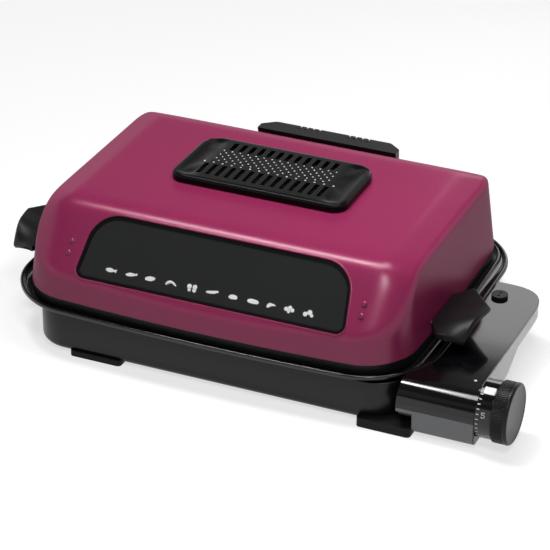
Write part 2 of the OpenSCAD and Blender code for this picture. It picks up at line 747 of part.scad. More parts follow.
// ---- Lid shell ----
// Height of the lid's roof over a point: flat panel, front slope, end slopes, rear slope
// and the hips at the front corners, with softened creases
function soft_min(v, k) = -k * ln(sum([for (z = v) exp(-(z - lid_top) / k)])) + lid_top;
function roof(x, y) = soft_min([
    lid_top,
    lid_top + (y - front_edge) * front_slope,
    lid_top - (abs(x) - panel_x) * end_slope,
    lid_top - (y - rear_edge) * rear_slope,
    lid_top - end_drop - (abs(x) - y - hip_reach) * hip_slope
], crease_soft);
// Wall outline at a height, drafted inwards to the top
function wall_ring(inset, z) = let (f = max(0, min(1, (z - lid_low) / (lid_h - end_drop))))
    outline(lid_x - end_draft * f - inset, lid_y - 2 * f - inset, lid_r + 6 * f - inset,
            rim_bow_x * (1 - f), rim_bow_y * (1 - f));
// Height at which the wall meets the roof at outline point i
function crease_z(inset, i, z, n) = n == 0 ? z :
    let (p = wall_ring(inset, z)[i]) crease_z(inset, i, roof(p.x, p.y) - inset * 1.3, n - 1);
function panel_ring(inset) = [for (p = outline(panel_x - 2 - inset, panel_y - 2 - inset, panel_r))
    [p.x, p.y + panel_shift]];
module lid_form(inset, low) {
    w0 = wall_ring(inset, low);
    n = len(w0);
    creases = [for (i = [0:n - 1]) crease_z(inset, i, lid_top - 20, 5)];
    edge_r = 6;
    function wall_at(i, z) = let (p = wall_ring(inset, z)[i]) [p.x, p.y, z];
    panel = panel_ring(inset);
    function roof_at(i, t) = let (
        a = wall_ring(inset, creases[i])[i], p = a + (panel[i] - a) * t
    ) [p.x, p.y, roof(p.x, p.y) - inset * 1.3];
    skin(concat(
        [at_z(w0, low)],
        [[for (i = [0:n - 1]) wall_at(i, low + (creases[i] - edge_r - low) * 0.5)]],
        [[for (i = [0:n - 1]) wall_at(i, creases[i] - edge_r)]],
        [[for (i = [0:n - 1]) wall_at(i, creases[i] - edge_r) * 0.3 + wall_at(i, creases[i]) * 0.5
            + roof_at(i, 0.12) * 0.2 - [0, 0, edge_r * 0.05]]],
        [for (t = [0.12, 0.3, 0.5, 0.7, 0.88, 1]) [for (i = [0:n - 1]) roof_at(i, t)]],
        [[for (p = panel) [p.x * 0.9, (p.y - panel_shift) * 0.85 + panel_shift, lid_top - inset * 1.3]]]
    ));
}
// Frame of the window: X to the right, Y up the slope, Z out of the lid
window_x = 5;
window_mid_y = front_edge - 24.5;
window_mid_z = lid_top + (window_mid_y - front_edge) * front_slope;
module on_slope() { translate([window_x, window_mid_y, window_mid_z]) rotate([front_angle, 0, 0]) children(); }
// Corner of radius r at point b between neighbours a and c
function unit(v) = v / norm(v);
function filleted(a, b, c, r) = let (
    u = unit(a - b), w = unit(c - b), half = acos(u * w) / 2, d = r / tan(half),
    m = b + unit(u + w) * r / sin(half), p = b + u * d, q = b + w * d,
    a0 = atan2(p.y - m.y, p.x - m.x), a1 = atan2(q.y - m.y, q.x - m.x),
    turn = a1 - a0 > 180 ? a1 - a0 - 360 : a1 - a0 < -180 ? a1 - a0 + 360 : a1 - a0
) [for (i = [0:6]) m + r * [cos(a0 + turn * i / 6), sin(a0 + turn * i / 6)]];
function window_outline(grow) = let (
    hw = window_w / 2 + grow, ht = (window_w - window_taper) / 2 + grow, hl = window_l / 2 + grow,
    q = [[-hw, -hl], [hw, -hl], [ht, hl], [-ht, hl]],
    r = [window_r_low, window_r_low, window_r_top, window_r_top]
) [for (k = [0:3]) each filleted(q[(k + 3) % 4], q[k], q[(k + 1) % 4], r[k] + grow)];
module window_prism(grow, z0, z1) {
    on_slope() translate([0, 0, z0]) linear_extrude(z1 - z0) polygon(window_outline(grow));
}
rivet_x = window_w / 2 + 11;
rivet_v = [-11.5, 0];
rivet_r = 1.8;
module rivet_places() {
    for (s = [-1, 1], v = rivet_v) on_slope() translate([s * rivet_x, v, 0]) children();
}
vent_x = 1;
vent_y = 15.5;
duct_x = 75;
duct_y = 34;
module vent_duct(grow, z0, z1) {
    translate([vent_x, vent_y, z0]) linear_extrude(z1 - z0)
        square([2 * (duct_x + grow), 2 * (duct_y + grow)], center = true);
}
module lid_shell() placed() color(raspberry)
    difference() {
        lid_form(0, lid_low);
        lid_form(lid_t, lid_low - 1);
        window_prism(seat, -12, 6);
        rivet_places() translate([0, 0, -8]) cylinder(h = 16, r = rivet_r + 0.02);
        vent_duct(0, lid_top - 8, lid_top + 5);
        handle_screw_axes(screw_r + run_fit);
        for (side = [-1, 1]) arm_screws(side, screw_r + run_fit);
    }
// Heat-proof black skirt inside the shell's lower edge: the lid rests on it
skirt_low = flange_z + seat;
skirt_top = lid_low + 5.5;
module lid_skirt() placed() color(satin_black)
    loop_skin([
        at_z(wall_ring(6, skirt_low), skirt_low),
        at_z(wall_ring(1.2, skirt_low), skirt_low),
        at_z(wall_ring(0.8, lid_low - 0.1), lid_low - 0.1),
        at_z(wall_ring(lid_t + seat, lid_low - 0.1), lid_low - 0.1),
        at_z(wall_ring(lid_t + seat, skirt_top), skirt_top),
        at_z(wall_ring(lid_t + 2.4, skirt_top), skirt_top),
        at_z(wall_ring(lid_t + 2.4, lid_low), lid_low)
    ]);
glass_out = -1.8;
module window_glass() placed() color("#202224") window_prism(-seal_w, glass_out - glass_t, glass_out);
seal_top = glass_out + 1;
module window_seal() placed() color(gloss_black)
    difference() {
        union() {
            window_prism(0, glass_out - glass_t - 1, seal_top);
            window_prism(5, glass_out - glass_t - 3, glass_out - glass_t - 1);
        }
        window_prism(-seal_w + 0.02, glass_out - glass_t - 0.02, 8);
        window_prism(-seal_w - 2, -14, 8);
    }
module window_rivets() placed() color(raspberry)
    rivet_places() {
        translate([0, 0, 0.1]) cylinder(h = 0.7, r1 = rivet_r + 0.9, r2 = rivet_r - 0.3, $fn = 24);
        translate([0, 0, -6]) cylinder(h = 6.2, r = rivet_r);
    }

// ---- Upper heater bay ----
upper_plate_z = lid_top - 20;
upper_x = 136;
upper_y = 92;
upper_heater_z = upper_plate_z - 8;
upper_pitch = 42;
upper_heater_mid = -6;
upper_heater_x = upper_x - 36;
module upper_reflector() placed() color(steel)
    difference() {
        union() {
            translate([-upper_x, -upper_y, upper_plate_z]) cube([2 * upper_x, 2 * upper_y, 1]);
            for (s = [-1, 1]) translate([s * (upper_x - 0.5), 0, upper_plate_z - 9])
                linear_extrude(9.5) square([1, 2 * upper_y], center = true);
            // Spacers up to the lid's roof
            for (x = [-1, 1], y = [-1, 1])
                translate([x * (upper_x - 14), y * 62, upper_plate_z]) cylinder(h = spacer_h, r = 4);
        }
        vent_duct(-6, upper_plate_z - 2, upper_plate_z + 3);
    }
spacer_h = lid_top - lid_t * 1.3 - seat - upper_plate_z;
module upper_heater() placed() color(dark_steel)
    translate([upper_heater_mid, 0, upper_heater_z]) serpentine(upper_heater_x, upper_pitch);
module upper_heater_clips() placed() color(steel)
    for (x = [-0.6, 0.6] * upper_heater_x, i = [0:3])
        translate([upper_heater_mid + x, (i - 1.5) * upper_pitch, upper_plate_z]) mirror([0, 0, 1]) saddle(8);
frame_t = 1.2;
module catalyst_frame() placed() color(steel)
    difference() {
        vent_duct(frame_t + 1, upper_plate_z + 1, lid_top - lid_t * 1.3 - seat);
        vent_duct(1, upper_plate_z + 2.2, lid_top);
        vent_duct(-6, upper_plate_z, lid_top);
    }
brick_top = lid_top - 9;
module smoke_catalyst() placed() color("#8f8a80")
    difference() {
        vent_duct(0.5, upper_plate_z + 2.5, brick_top);
        for (i = [-7:7], j = [-3:3])
            translate([vent_x + i * 9.4, vent_y + j * 9, upper_plate_z]) cylinder(h = 30, r = 3, $fn = 24);
    }

// ---- Side handles ----
handle_y0 = -90;
handle_z = rim_z + handle_lift;
handle_w = handle_reach - lid_x - rim_bow_x;
// How far the handle's outer edge stands in from its reach, from the front end to the rear end
function handle_tip(t) = handle_w * (t < 0.65 ? 0.2 * pow((0.65 - t) / 0.65, 1.3) : 0.53 * (t - 0.65) / 0.35);
function handle_rise(t) = -5 + 14.6 * sin(90 * min(1, t / 0.4));
// Wall of the lid's end at a given depth and height
function end_wall(y, z) = let (f = (z - lid_low) / (lid_h - end_drop))
    lid_x - end_draft * f + rim_bow_x * (1 - f) * (1 - pow(y / lid_y, 2));
function handle_section(t) = let (
    y = handle_y0 + handle_l * t, x0 = end_wall(y, handle_z - 4) + seat, x1 = handle_reach - handle_tip(t),
    z = handle_z + handle_rise(t), h = handle_t, yo = y + 8 * (1 - t) * (1 - t), xi = x0 + 0.26 * handle_w
) [
    [x0, y, handle_z - h], [x0, y, handle_z],
    [xi, y, handle_z + 1], [x1 - 2, yo, z + 0.6], [x1, yo, z - h * 0.3],
    [x1, yo, z - h * 0.7], [x1 - 2, yo, z - h], [xi, y, handle_z + 1 - h]
];
handle_stations = [0, 0.1, 0.2, 0.3, 0.45, 0.65, 0.8, 0.9, 1];
module handle_form() { skin([for (t = handle_stations) handle_section(t)]); }
handle_screw_y = [handle_y0 + handle_l * 0.3, handle_y0 + handle_l * 0.7];
module handle_screw_axes(r) {
    for (s = [-1, 1], y = handle_screw_y)
        mirror([s < 0 ? 1 : 0, 0, 0]) translate([0, y, handle_z - handle_t / 2]) rod_x(lid_x - 12, lid_x + 10, r);
}
module handle_right() placed() color(satin_black)
    difference() {
        handle_form();
        handle_screw_axes(screw_r + 0.02);
    }
module handle_left() placed() color(satin_black)
    difference() {
        mirror([1, 0, 0]) handle_form();
        handle_screw_axes(screw_r + 0.02);
    }
module handle_screws() placed() color(steel)
    for (s = [-1, 1], y = handle_screw_y) {
        x = end_wall(y, handle_z) - lid_t * 1.1 - 0.4;
        mirror([s < 0 ? 1 : 0, 0, 0]) translate([0, y, handle_z - handle_t / 2]) {
            rod_x(x - 2, x, screw_head_r);
            rod_x(x - 2, lid_x + 9.9, screw_r);
        }
    }

// ---- Wiring cover and hinge arms ----
function rear_wall(z) = let (f = (z - lid_low) / (lid_h - end_drop)) lid_y - 2 * f + rim_bow_y * (1 - f);
cover_low = lid_low + 2.5;
cover_top = cover_low + rear_cover_h;
cover_back = rear_wall(cover_low) + rear_cover_d;
cover_r = 6;
module cover_profile(inset) {
    r = cover_r - inset;
    yb = cover_back - inset;
    zt = cover_top - inset;
    polygon(concat(
        [[rear_wall(cover_low) + seat, cover_low - 1], [yb, cover_low - 1]],
        [for (i = [0:6]) [yb - r + r * cos(15 * i), zt - r + r * sin(15 * i)]],
        [[rear_wall(cover_top - 4) + seat + inset, zt], [rear_wall(cover_top - 14) + seat, zt - 6]]
    ));
}
notch_pitch = 7;
cover_slant = 20;
// Plan of the cover: its ends slant in towards the back
module cover_plan(inset) {
    hw = rear_cover_w / 2 - inset;
    y0 = rear_wall(cover_top) - 5;
    polygon([[-hw, y0], [hw, y0], [hw, rear_wall(cover_low) + 2], [hw - cover_slant, cover_back + 1 - inset],
             [cover_slant - hw, cover_back + 1 - inset], [-hw, rear_wall(cover_low) + 2]]);
}
module rear_cover() placed() color(satin_black)
    difference() {
        intersection() {
            along_x(-rear_cover_w / 2, rear_cover_w / 2) cover_profile(0);
            translate([0, 0, cover_low]) linear_extrude(rear_cover_h + 1) cover_plan(0);
        }
        intersection() {
            along_x(-rear_cover_w / 2, rear_cover_w / 2) cover_profile(2.5);
            linear_extrude(cover_top + 1) cover_plan(2.5);
        }
        // Two groups of cooling notches along the top
        for (s = [-1, 1], i = [0:3])
            translate([s * 27 + (i - 1.5) * notch_pitch, cover_back - 12, cover_top - 5]) cube([3, 14, 8]);
        // Way out for the hinge arms
        for (s = [-1, 1])
            translate([s * hinge_span / 2 - arm_w / 2 - 1, rear_wall(cover_low) - 5, cover_low - 5])
                cube([arm_w + 2, rear_cover_d + 10, 10]);
    }
arm_t = 3;
module arm_screws(side, r) {
    for (z = [cover_low + 18, cover_low + 34])
        translate([side * hinge_span / 2, rear_wall(z) + arm_t + 1, z]) rotate([90, 0, 0]) cylinder(h = 9, r = r);
}
module hinge_arm(side) placed() color(steel)
    difference() {
        translate([side * hinge_span / 2, 0, 0]) along_x(-arm_w / 2, arm_w / 2) {
            polygon([
                [rear_wall(cover_low + 42) + seat + 1, cover_low + 42], [rear_wall(lid_low + 3) + seat, lid_low + 3],
                [hinge_y - knuckle_r + 0.5, hinge_z + 1.5], [hinge_y, hinge_z], [hinge_y + 1, hinge_z + 5],
                [rear_wall(cover_low) + arm_t + 3.5, cover_low + 8], [rear_wall(cover_low + 42) + arm_t + 1, cover_low + 42]
            ]);
            translate([hinge_y, hinge_z]) circle(r = knuckle_r - 0.3);
        }
        translate([side * hinge_span / 2, hinge_y, hinge_z]) rod_x(-arm_w, arm_w, pin_r + run_fit);
        arm_screws(side, screw_r + run_fit);
    }
module hinge_arm_left() { hinge_arm(-1); }
module hinge_arm_right() { hinge_arm(1); }

// ---- Vent cover ----
vent_low = lid_top + seat;
function vent_plan(grow) = let (
    hf = vent_w / 2 + grow, hb = vent_w / 2 - 1 + grow, hd = vent_d / 2 + grow,
    q = [[-hf, -hd], [hf, -hd], [hb, hd], [-hb, hd]], r = [12, 12, 20, 20]
) [for (k = [0:3]) each filleted(q[(k + 3) % 4], q[k], q[(k + 1) % 4], r[k] + grow)];
function vent_ring(grow, z) = [for (p = vent_plan(grow)) [p.x + vent_x, p.y + vent_y, z]];
slot_w = 4;
front_slot_l = 19;
back_slot_l = 10;
slots_x = vent_x - 1.5;
function spread(n, i) = n == 1 ? 0 : (i / (n - 1) - 0.5);
module vent_cover() placed() color(satin_black)
    difference() {
        union() {
            difference() {
                skin([vent_ring(0, vent_low), vent_ring(0, vent_low + vent_h - 3.5),
                      vent_ring(-1, vent_low + vent_h - 1.2), vent_ring(-3, vent_low + vent_h)]);
                skin([vent_ring(-vent_t, vent_low - 1), vent_ring(-vent_t - 1.5, vent_low + vent_h - vent_t)]);
            }
            // Guide tabs in the lid's duct
            for (x = [-1, 1], y = [-1, 1])
                translate([vent_x + x * (duct_x - 4.5) - 4, vent_y + y * (duct_y - 1.9) - 1.2, lid_top - 5])
                    cube([8, 2.4, vent_h + 3]);
        }
        for (i = [0:vent_front_slots - 1])
            translate([slots_x + spread(vent_front_slots, i) * (vent_w - 57) - slot_w / 2,
                       vent_y - vent_d / 2 + 15.5, vent_low + 2]) cube([slot_w, front_slot_l, vent_h]);
        for (i = [0:vent_back_slots - 1])
            translate([slots_x + spread(vent_back_slots, i) * (vent_w - 76) - slot_w / 2,
                       vent_y + vent_d / 2 - 19.5, vent_low + 2]) cube([slot_w, back_slot_l, vent_h]);
        for (j = [-1:1], i = [-7:7])
            translate([slots_x + (i - 0.5 + 0.5 * abs(j)) * 8.5, vent_y + 6.5 + j * 9, vent_low + 2])
                cylinder(h = vent_h, r = 1.3, $fn = 16);
    }
module vent_mesh() placed() color(steel)
    difference() {
        translate([0, 0, vent_low + vent_h - vent_t - seat - 0.8]) linear_extrude(0.8)
            translate([vent_x, vent_y]) square([vent_w - 34, 2 * (duct_y - 4)], center = true);
        for (j = [-2:2], i = [-7:7])
            translate([vent_x + i * 9 + 4.5, vent_y + j * 9, lid_top]) cylinder(h = 20, r = 2, $fn = 16);
    }

body_tub();
bottom_plate();
bottom_screws();
foot_front_left();
foot_front_right();
foot_rear_left();
foot_rear_right();
roasting_pan();
grill_frame();
grill_rods();
grill_legs();
lower_reflector();
lower_heater();
lower_heater_clips();
pan_thermostat();
thermal_fuse();
hinge_bracket_left();
hinge_bracket_right();
hinge_pin_left();
hinge_pin_right();
wing_top();
wing_bottom();
wing_side_trim();
barrel_end_cap();
lid_contact_seat();
dial_index_dot();
timer_movement();
terminal_block();
cord_gland();
wing_screws();
timer_shaft();
dial_ring();
dial_grip();
lid_shell();
lid_skirt();
window_glass();
window_seal();
window_rivets();
upper_reflector();
upper_heater();
upper_heater_clips();
catalyst_frame();
smoke_catalyst();
handle_left();
handle_right();
handle_screws();
rear_cover();
hinge_arm_left();
hinge_arm_right();
vent_cover();
vent_mesh();
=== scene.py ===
import math

import bpy
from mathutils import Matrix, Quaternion, Vector


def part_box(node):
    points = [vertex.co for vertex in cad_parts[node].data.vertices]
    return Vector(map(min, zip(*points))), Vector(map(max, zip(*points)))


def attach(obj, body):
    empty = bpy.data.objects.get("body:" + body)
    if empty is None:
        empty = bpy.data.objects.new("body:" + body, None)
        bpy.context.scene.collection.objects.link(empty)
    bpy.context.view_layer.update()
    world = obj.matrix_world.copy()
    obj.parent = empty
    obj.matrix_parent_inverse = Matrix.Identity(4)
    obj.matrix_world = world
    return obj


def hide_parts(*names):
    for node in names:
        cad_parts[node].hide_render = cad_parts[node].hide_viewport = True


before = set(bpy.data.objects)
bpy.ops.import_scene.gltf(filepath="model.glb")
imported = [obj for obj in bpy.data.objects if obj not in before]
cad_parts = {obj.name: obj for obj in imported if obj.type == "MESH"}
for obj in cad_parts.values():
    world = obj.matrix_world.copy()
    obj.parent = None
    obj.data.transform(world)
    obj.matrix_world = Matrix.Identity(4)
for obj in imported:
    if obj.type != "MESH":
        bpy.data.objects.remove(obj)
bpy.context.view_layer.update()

# ---- Camera ----
# The photograph's own view. Its angle, distance and lens were solved from the
# outlines of the rim, the lid's lower edge and the lid's top panel.
MM = 0.001
pan_low, pan_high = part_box("roasting_pan")
PAN_X = (pan_low.x + pan_high.x) / 2 / MM
PAN_Y = (pan_low.y + pan_high.y) / 2 / MM


def at(x, y, z):
    """A point in mm from the middle of the pan, as a point of the shared frame."""
    return Vector(((x + PAN_X) * MM, (y + PAN_Y) * MM, z * MM))


PHOTO_PIXELS = 550
VIEW_AZIMUTH = math.radians(23.583)
VIEW_ELEVATION = math.radians(28.837)
VIEW_ROLL = math.radians(0.239)
VIEW_DISTANCE_MM = 2439.13
VIEW_TARGET_MM = (22.83, -30.05, 60)
FOCAL_PIXELS = 2522.6
SENSOR_MM = 36

# From what the camera looks at back to the camera
back = Vector((
    math.sin(VIEW_AZIMUTH) * math.cos(VIEW_ELEVATION),
    -math.cos(VIEW_AZIMUTH) * math.cos(VIEW_ELEVATION),
    math.sin(VIEW_ELEVATION),
))
camera_data = bpy.data.cameras.new("photo_camera")
camera_data.sensor_width = SENSOR_MM
camera_data.lens = FOCAL_PIXELS / PHOTO_PIXELS * SENSOR_MM
camera_data.clip_start, camera_data.clip_end = 0.1, 50
camera = bpy.data.objects.new("photo_camera", camera_data)
camera.rotation_mode = "QUATERNION"
camera.location = at(*VIEW_TARGET_MM) + back * VIEW_DISTANCE_MM * MM
camera.rotation_quaternion = (-back).to_track_quat("-Z", "Y") @ Quaternion((0, 0, 1), VIEW_ROLL)
scene = bpy.context.scene
scene.collection.objects.link(camera)
scene.camera = camera
scene.view_settings.view_transform = "Standard"

# ---- Floor, backdrop and light ----
# A sheet of matt white studio paper in front of a white wall that ends under a
# dim ceiling. Soft boxes draw the long highlights on the lid's creases.


def linear(colour):
    """An sRGB hex colour as linear RGBA."""
    parts = [int(colour[i:i + 2], 16) / 255 for i in (1, 3, 5)]
    return [c / 12.92 if c <= 0.04045 else ((c + 0.055) / 1.055) ** 2.4 for c in parts] + [1.0]


def add(tree, kind, settings=None, **values):
    """Adds a node. A value is a setting of a socket or, if it is a socket, a link to it."""
    made = tree.nodes.new(kind)
    for key, value in (settings or {}).items():
        setattr(made, key, value)
    for key, value in values.items():
        name = key.replace("_", " ")
        if name[-1].isdigit() and name not in made.inputs.keys():
            socket = made.inputs[int(name[-1])]
        else:
            socket = made.inputs[name]
        if isinstance(value, bpy.types.NodeSocket):
            tree.links.new(value, socket)
        else:
            socket.default_value = value
    return made


def rays_that_see(tree):
    """1 for a ray from the camera, off a gloss or through a pane, and else 0."""
    rays = add(tree, "ShaderNodeLightPath")
    direct = add(tree, "ShaderNodeMath", {"operation": "MAXIMUM"},
                 Value_0=rays.outputs["Is Camera Ray"], Value_1=rays.outputs["Is Glossy Ray"])
    seen = add(tree, "ShaderNodeMath", {"operation": "MAXIMUM"},
               Value_0=direct.outputs[0], Value_1=rays.outputs["Is Transmission Ray"])
    return seen.outputs[0]


def link_new(name, mesh):
    """An object for a mesh, linked to the scene."""
    made = bpy.data.objects.new(name, mesh)
    scene.collection.objects.link(made)
    return made


floor_mesh = bpy.data.meshes.new("studio_floor")
FLOOR_HALF = 6.0
PAPER_LIFT = 0.66
PAPER_TOOTH = 30.0
floor_mesh.from_pydata(
    [(-FLOOR_HALF, -FLOOR_HALF, 0), (FLOOR_HALF, -FLOOR_HALF, 0),
     (FLOOR_HALF, FLOOR_HALF, 0), (-FLOOR_HALF, FLOOR_HALF, 0)],
    [], [(0, 1, 2, 3)],
)
floor = link_new("studio_floor", floor_mesh)
# Uncoated paper: a fine tooth and no gloss
floor_paper = bpy.data.materials.new("studio_paper")
floor_paper.use_nodes = True
paper_tree = floor_paper.node_tree
paper_tree.nodes.clear()
paper_place = add(paper_tree, "ShaderNodeTexCoord")
paper_noise = add(paper_tree, "ShaderNodeTexNoise", Vector=paper_place.outputs["Object"], Scale=PAPER_TOOTH,
                  Detail=4.0)
paper_bump = add(paper_tree, "ShaderNodeBump", Height=paper_noise.outputs["Fac"],
                 Strength=0.02, Distance=MM)
paper_surface = add(paper_tree, "ShaderNodeBsdfDiffuse", Color=linear("#b6b6b6"),
                    Normal=paper_bump.outputs["Normal"])
# The camera sees the paper as white, and the object is lit by its real tone
paper_lift = add(paper_tree, "ShaderNodeMath", {"operation": "MULTIPLY"},
                 Value_0=rays_that_see(paper_tree), Value_1=PAPER_LIFT)
paper_white = add(paper_tree, "ShaderNodeEmission", Color=(1, 1, 1, 1), Strength=paper_lift.outputs[0])
paper_sum = add(paper_tree, "ShaderNodeAddShader")
paper_tree.links.new(paper_surface.outputs["BSDF"], paper_sum.inputs[0])
paper_tree.links.new(paper_white.outputs["Emission"], paper_sum.inputs[1])
add(paper_tree, "ShaderNodeOutputMaterial", Surface=paper_sum.outputs["Shader"])
floor_mesh.materials.append(floor_paper)

# The wall's and the ceiling's light as it is seen, and the softer level that it gives
WALL_TOP = math.sin(math.radians(24))
WALL_FADE = 0.05
CEILING = 0.12
WORLD_LEVEL = 0.1
world = bpy.data.worlds.new("studio_world")
world.use_nodes = True
scene.world = world
sky = world.node_tree
sky.nodes.clear()
direction = add(sky, "ShaderNodeTexCoord")
height = add(sky, "ShaderNodeSeparateXYZ", Vector=direction.outputs["Generated"])
wall = add(sky, "ShaderNodeMapRange", {"interpolation_type": "SMOOTHSTEP"}, Value=height.outputs["Z"],
           From_Min=WALL_TOP - WALL_FADE, From_Max=WALL_TOP + WALL_FADE, To_Min=1.0, To_Max=CEILING)
soft_fill = add(sky, "ShaderNodeBackground", Color=linear("#f4f6f8"), Strength=WORLD_LEVEL)
white = add(sky, "ShaderNodeBackground", Color=(1, 1, 1, 1), Strength=wall.outputs["Result"])
chosen = add(sky, "ShaderNodeMixShader", Fac=rays_that_see(sky))
sky.links.new(soft_fill.outputs[0], chosen.inputs[1])
sky.links.new(white.outputs[0], chosen.inputs[2])
add(sky, "ShaderNodeOutputWorld", Surface=chosen.outputs[0])


def soft_box(name, place, aim, width, height, watts):
    """A white rectangular studio light at a place, turned to a point, both in metres."""
    data = bpy.data.lights.new(name, "AREA")
    data.shape = "RECTANGLE"
    data.size, data.size_y = width, height
    data.energy = watts
    made = bpy.data.objects.new(name, data)
    made.location = place
    made.rotation_mode = "QUATERNION"
    made.rotation_quaternion = (Vector(aim) - Vector(place)).to_track_quat("-Z", "Y")
    made.visible_camera = False
    scene.collection.objects.link(made)
    return made


soft_box("overhead_box", (-0.68, 0.1, 2.1), (0, -0.05, 0.1), 0.36, 0.56, 17)
soft_box("top_box", (0.12, -0.03, 0.66), (0.2, -0.13, 0.05), 0.32, 0.2, 1.8)
soft_box("hip_box", (0.6, -1.07, 1.68), (0.13, -0.12, 0.1), 0.45, 0.5, 9.5)
soft_box("front_box", (-1.1, -2.1, 2.2), (0, -0.1, 0.1), 1.2, 1.2, 0.8)
soft_box("wing_box", (0.03, 0.82, 0.44), (0.22, -0.05, 0.05), 0.24, 0.26, 0.5)

# ---- Body tub ----
# A deep tray moulded from black ABS with a rounded lower edge. It carries the pan
# and the hinges, and reaches further to the right, where the control wing joins it.
BODY_HALF = (190, 155)
BODY_SHIFT = 10
BODY_RADIUS = 35
BODY_LOW = 3
BODY_WALL = 2.5
BODY_EDGE = 7
ACCESS_HALF = (136, 105)

# Size of the slow patches of tone and gloss, of the lacquer's flakes and of a worn edge
PATCHES_PER_METRE = 18.0
FLAKE_MM = 0.25
WORN_EDGE_MM = 0.8
# How far a face and its rounded edge still agree where wear begins and where it is full
WEAR_BEGINS, WEAR_FULL = 0.97, 0.75


def finish(name, colour, rough, metal=0.0, coat=0.0, grain_mm=0.5, grain_depth_mm=0.01,
           uneven=0.06, rough_spread=0.05, wear=0.12, wear_colour="#8a8a8a", stretch=(1, 1, 1),
           flake=0.0, wave_mm=0.0, wave_depth_mm=0.0, coat_rough=0.03, coat_ior=1.5, shine=0.5):
    """A finish with grain at its real size, uneven colour and gloss, and lighter worn edges."""
    made = bpy.data.materials.new(name)
    made.use_nodes = True
    tree = made.node_tree
    tree.nodes.clear()
    place = add(tree, "ShaderNodeTexCoord")
    in_mm = add(tree, "ShaderNodeMapping", Vector=place.outputs["Object"],
                Scale=tuple(1 / MM * s for s in stretch))
    fine = add(tree, "ShaderNodeTexNoise", Vector=in_mm.outputs["Vector"], Scale=1 / grain_mm, Detail=3.0)
    slow = add(tree, "ShaderNodeTexNoise", Vector=place.outputs["Object"],
               Scale=PATCHES_PER_METRE, Detail=3.0)
    tone = add(tree, "ShaderNodeMapRange", Value=slow.outputs["Fac"], To_Min=1 - uneven, To_Max=1 + uneven)
    base = add(tree, "ShaderNodeHueSaturation", Color=linear(colour), Value=tone.outputs["Result"])
    colour_now = base.outputs["Color"]
    if flake:
        specks = add(tree, "ShaderNodeTexVoronoi", Vector=in_mm.outputs["Vector"], Scale=1 / FLAKE_MM)
        pearl = add(tree, "ShaderNodeMapRange", Value=specks.outputs["Color"],
                    To_Min=1 - flake, To_Max=1 + flake)
        shimmer = add(tree, "ShaderNodeHueSaturation", Color=colour_now, Value=pearl.outputs["Result"])
        colour_now = shimmer.outputs["Color"]
    edge_normal = add(tree, "ShaderNodeBevel", {"samples": 4}, Radius=WORN_EDGE_MM * MM)
    shape = add(tree, "ShaderNodeNewGeometry")
    match = add(tree, "ShaderNodeVectorMath", {"operation": "DOT_PRODUCT"},
                Vector_0=edge_normal.outputs["Normal"], Vector_1=shape.outputs["Normal"])
    worn = add(tree, "ShaderNodeMapRange", Value=match.outputs["Value"],
               From_Min=WEAR_BEGINS, From_Max=WEAR_FULL, To_Min=0.0, To_Max=wear)
    patchy = add(tree, "ShaderNodeMath", {"operation": "MULTIPLY"},
                 Value_0=worn.outputs["Result"], Value_1=slow.outputs["Fac"])
    edged = add(tree, "ShaderNodeMix", {"data_type": "RGBA"}, Factor=patchy.outputs[0])
    tree.links.new(colour_now, edged.inputs[6])
    edged.inputs[7].default_value = linear(wear_colour)
    gloss = add(tree, "ShaderNodeMapRange", Value=slow.outputs["Fac"],
                To_Min=max(0.02, rough - rough_spread), To_Max=rough + rough_spread)
    grain = add(tree, "ShaderNodeBump", Height=fine.outputs["Fac"], Strength=1.0,
                Distance=grain_depth_mm * MM, Normal=edge_normal.outputs["Normal"])
    normal = grain.outputs["Normal"]
    if wave_mm:
        swell = add(tree, "ShaderNodeTexNoise", Vector=in_mm.outputs["Vector"],
                    Scale=1 / wave_mm, Detail=1.0)
        waves = add(tree, "ShaderNodeBump", Height=swell.outputs["Fac"], Strength=1.0,
                    Distance=wave_depth_mm * MM, Normal=normal)
        normal = waves.outputs["Normal"]
    surface = add(tree, "ShaderNodeBsdfPrincipled", Base_Color=edged.outputs[2], Metallic=metal,
                  Roughness=gloss.outputs["Result"], Normal=normal, Coat_Weight=coat,
                  Coat_Roughness=coat_rough, Coat_IOR=coat_ior, Specular_IOR_Level=shine)
    add(tree, "ShaderNodeOutputMaterial", Surface=surface.outputs["BSDF"])
    return made


def outline(hx, hy, r, bow=(0, 0), arc=20, side=(44, 32)):
    """A rounded rectangle whose sides bow outwards, anticlockwise, in mm."""
    points = []
    corners = [(hx - r, hy - r), (r - hx, hy - r), (r - hx, r - hy), (hx - r, r - hy)]
    for k, (cx, cy) in enumerate(corners):
        for i in range(arc + 1):
            a = math.radians(90 * (k + i / arc))
            points.append((cx + r * math.cos(a), cy + r * math.sin(a)))
        n = side[k % 2]
        nx, ny = corners[(k + 1) % 4]
        b = math.radians(90 * (k + 1))
        start = points[-1]
        end = (nx + r * math.cos(b), ny + r * math.sin(b))
        points += [(start[0] + (end[0] - start[0]) * i / n, start[1] + (end[1] - start[1]) * i / n)
                   for i in range(1, n)]
    return [(x + bow[0] * max(0, 1 - (y / hy) ** 2) * x / hx,
             y + bow[1] * max(0, 1 - (x / hx) ** 2) * y / hy) for x, y in points]


def level(points, z):
    """Flat points at a height."""
    return [(x, y, z) for x, y in points]


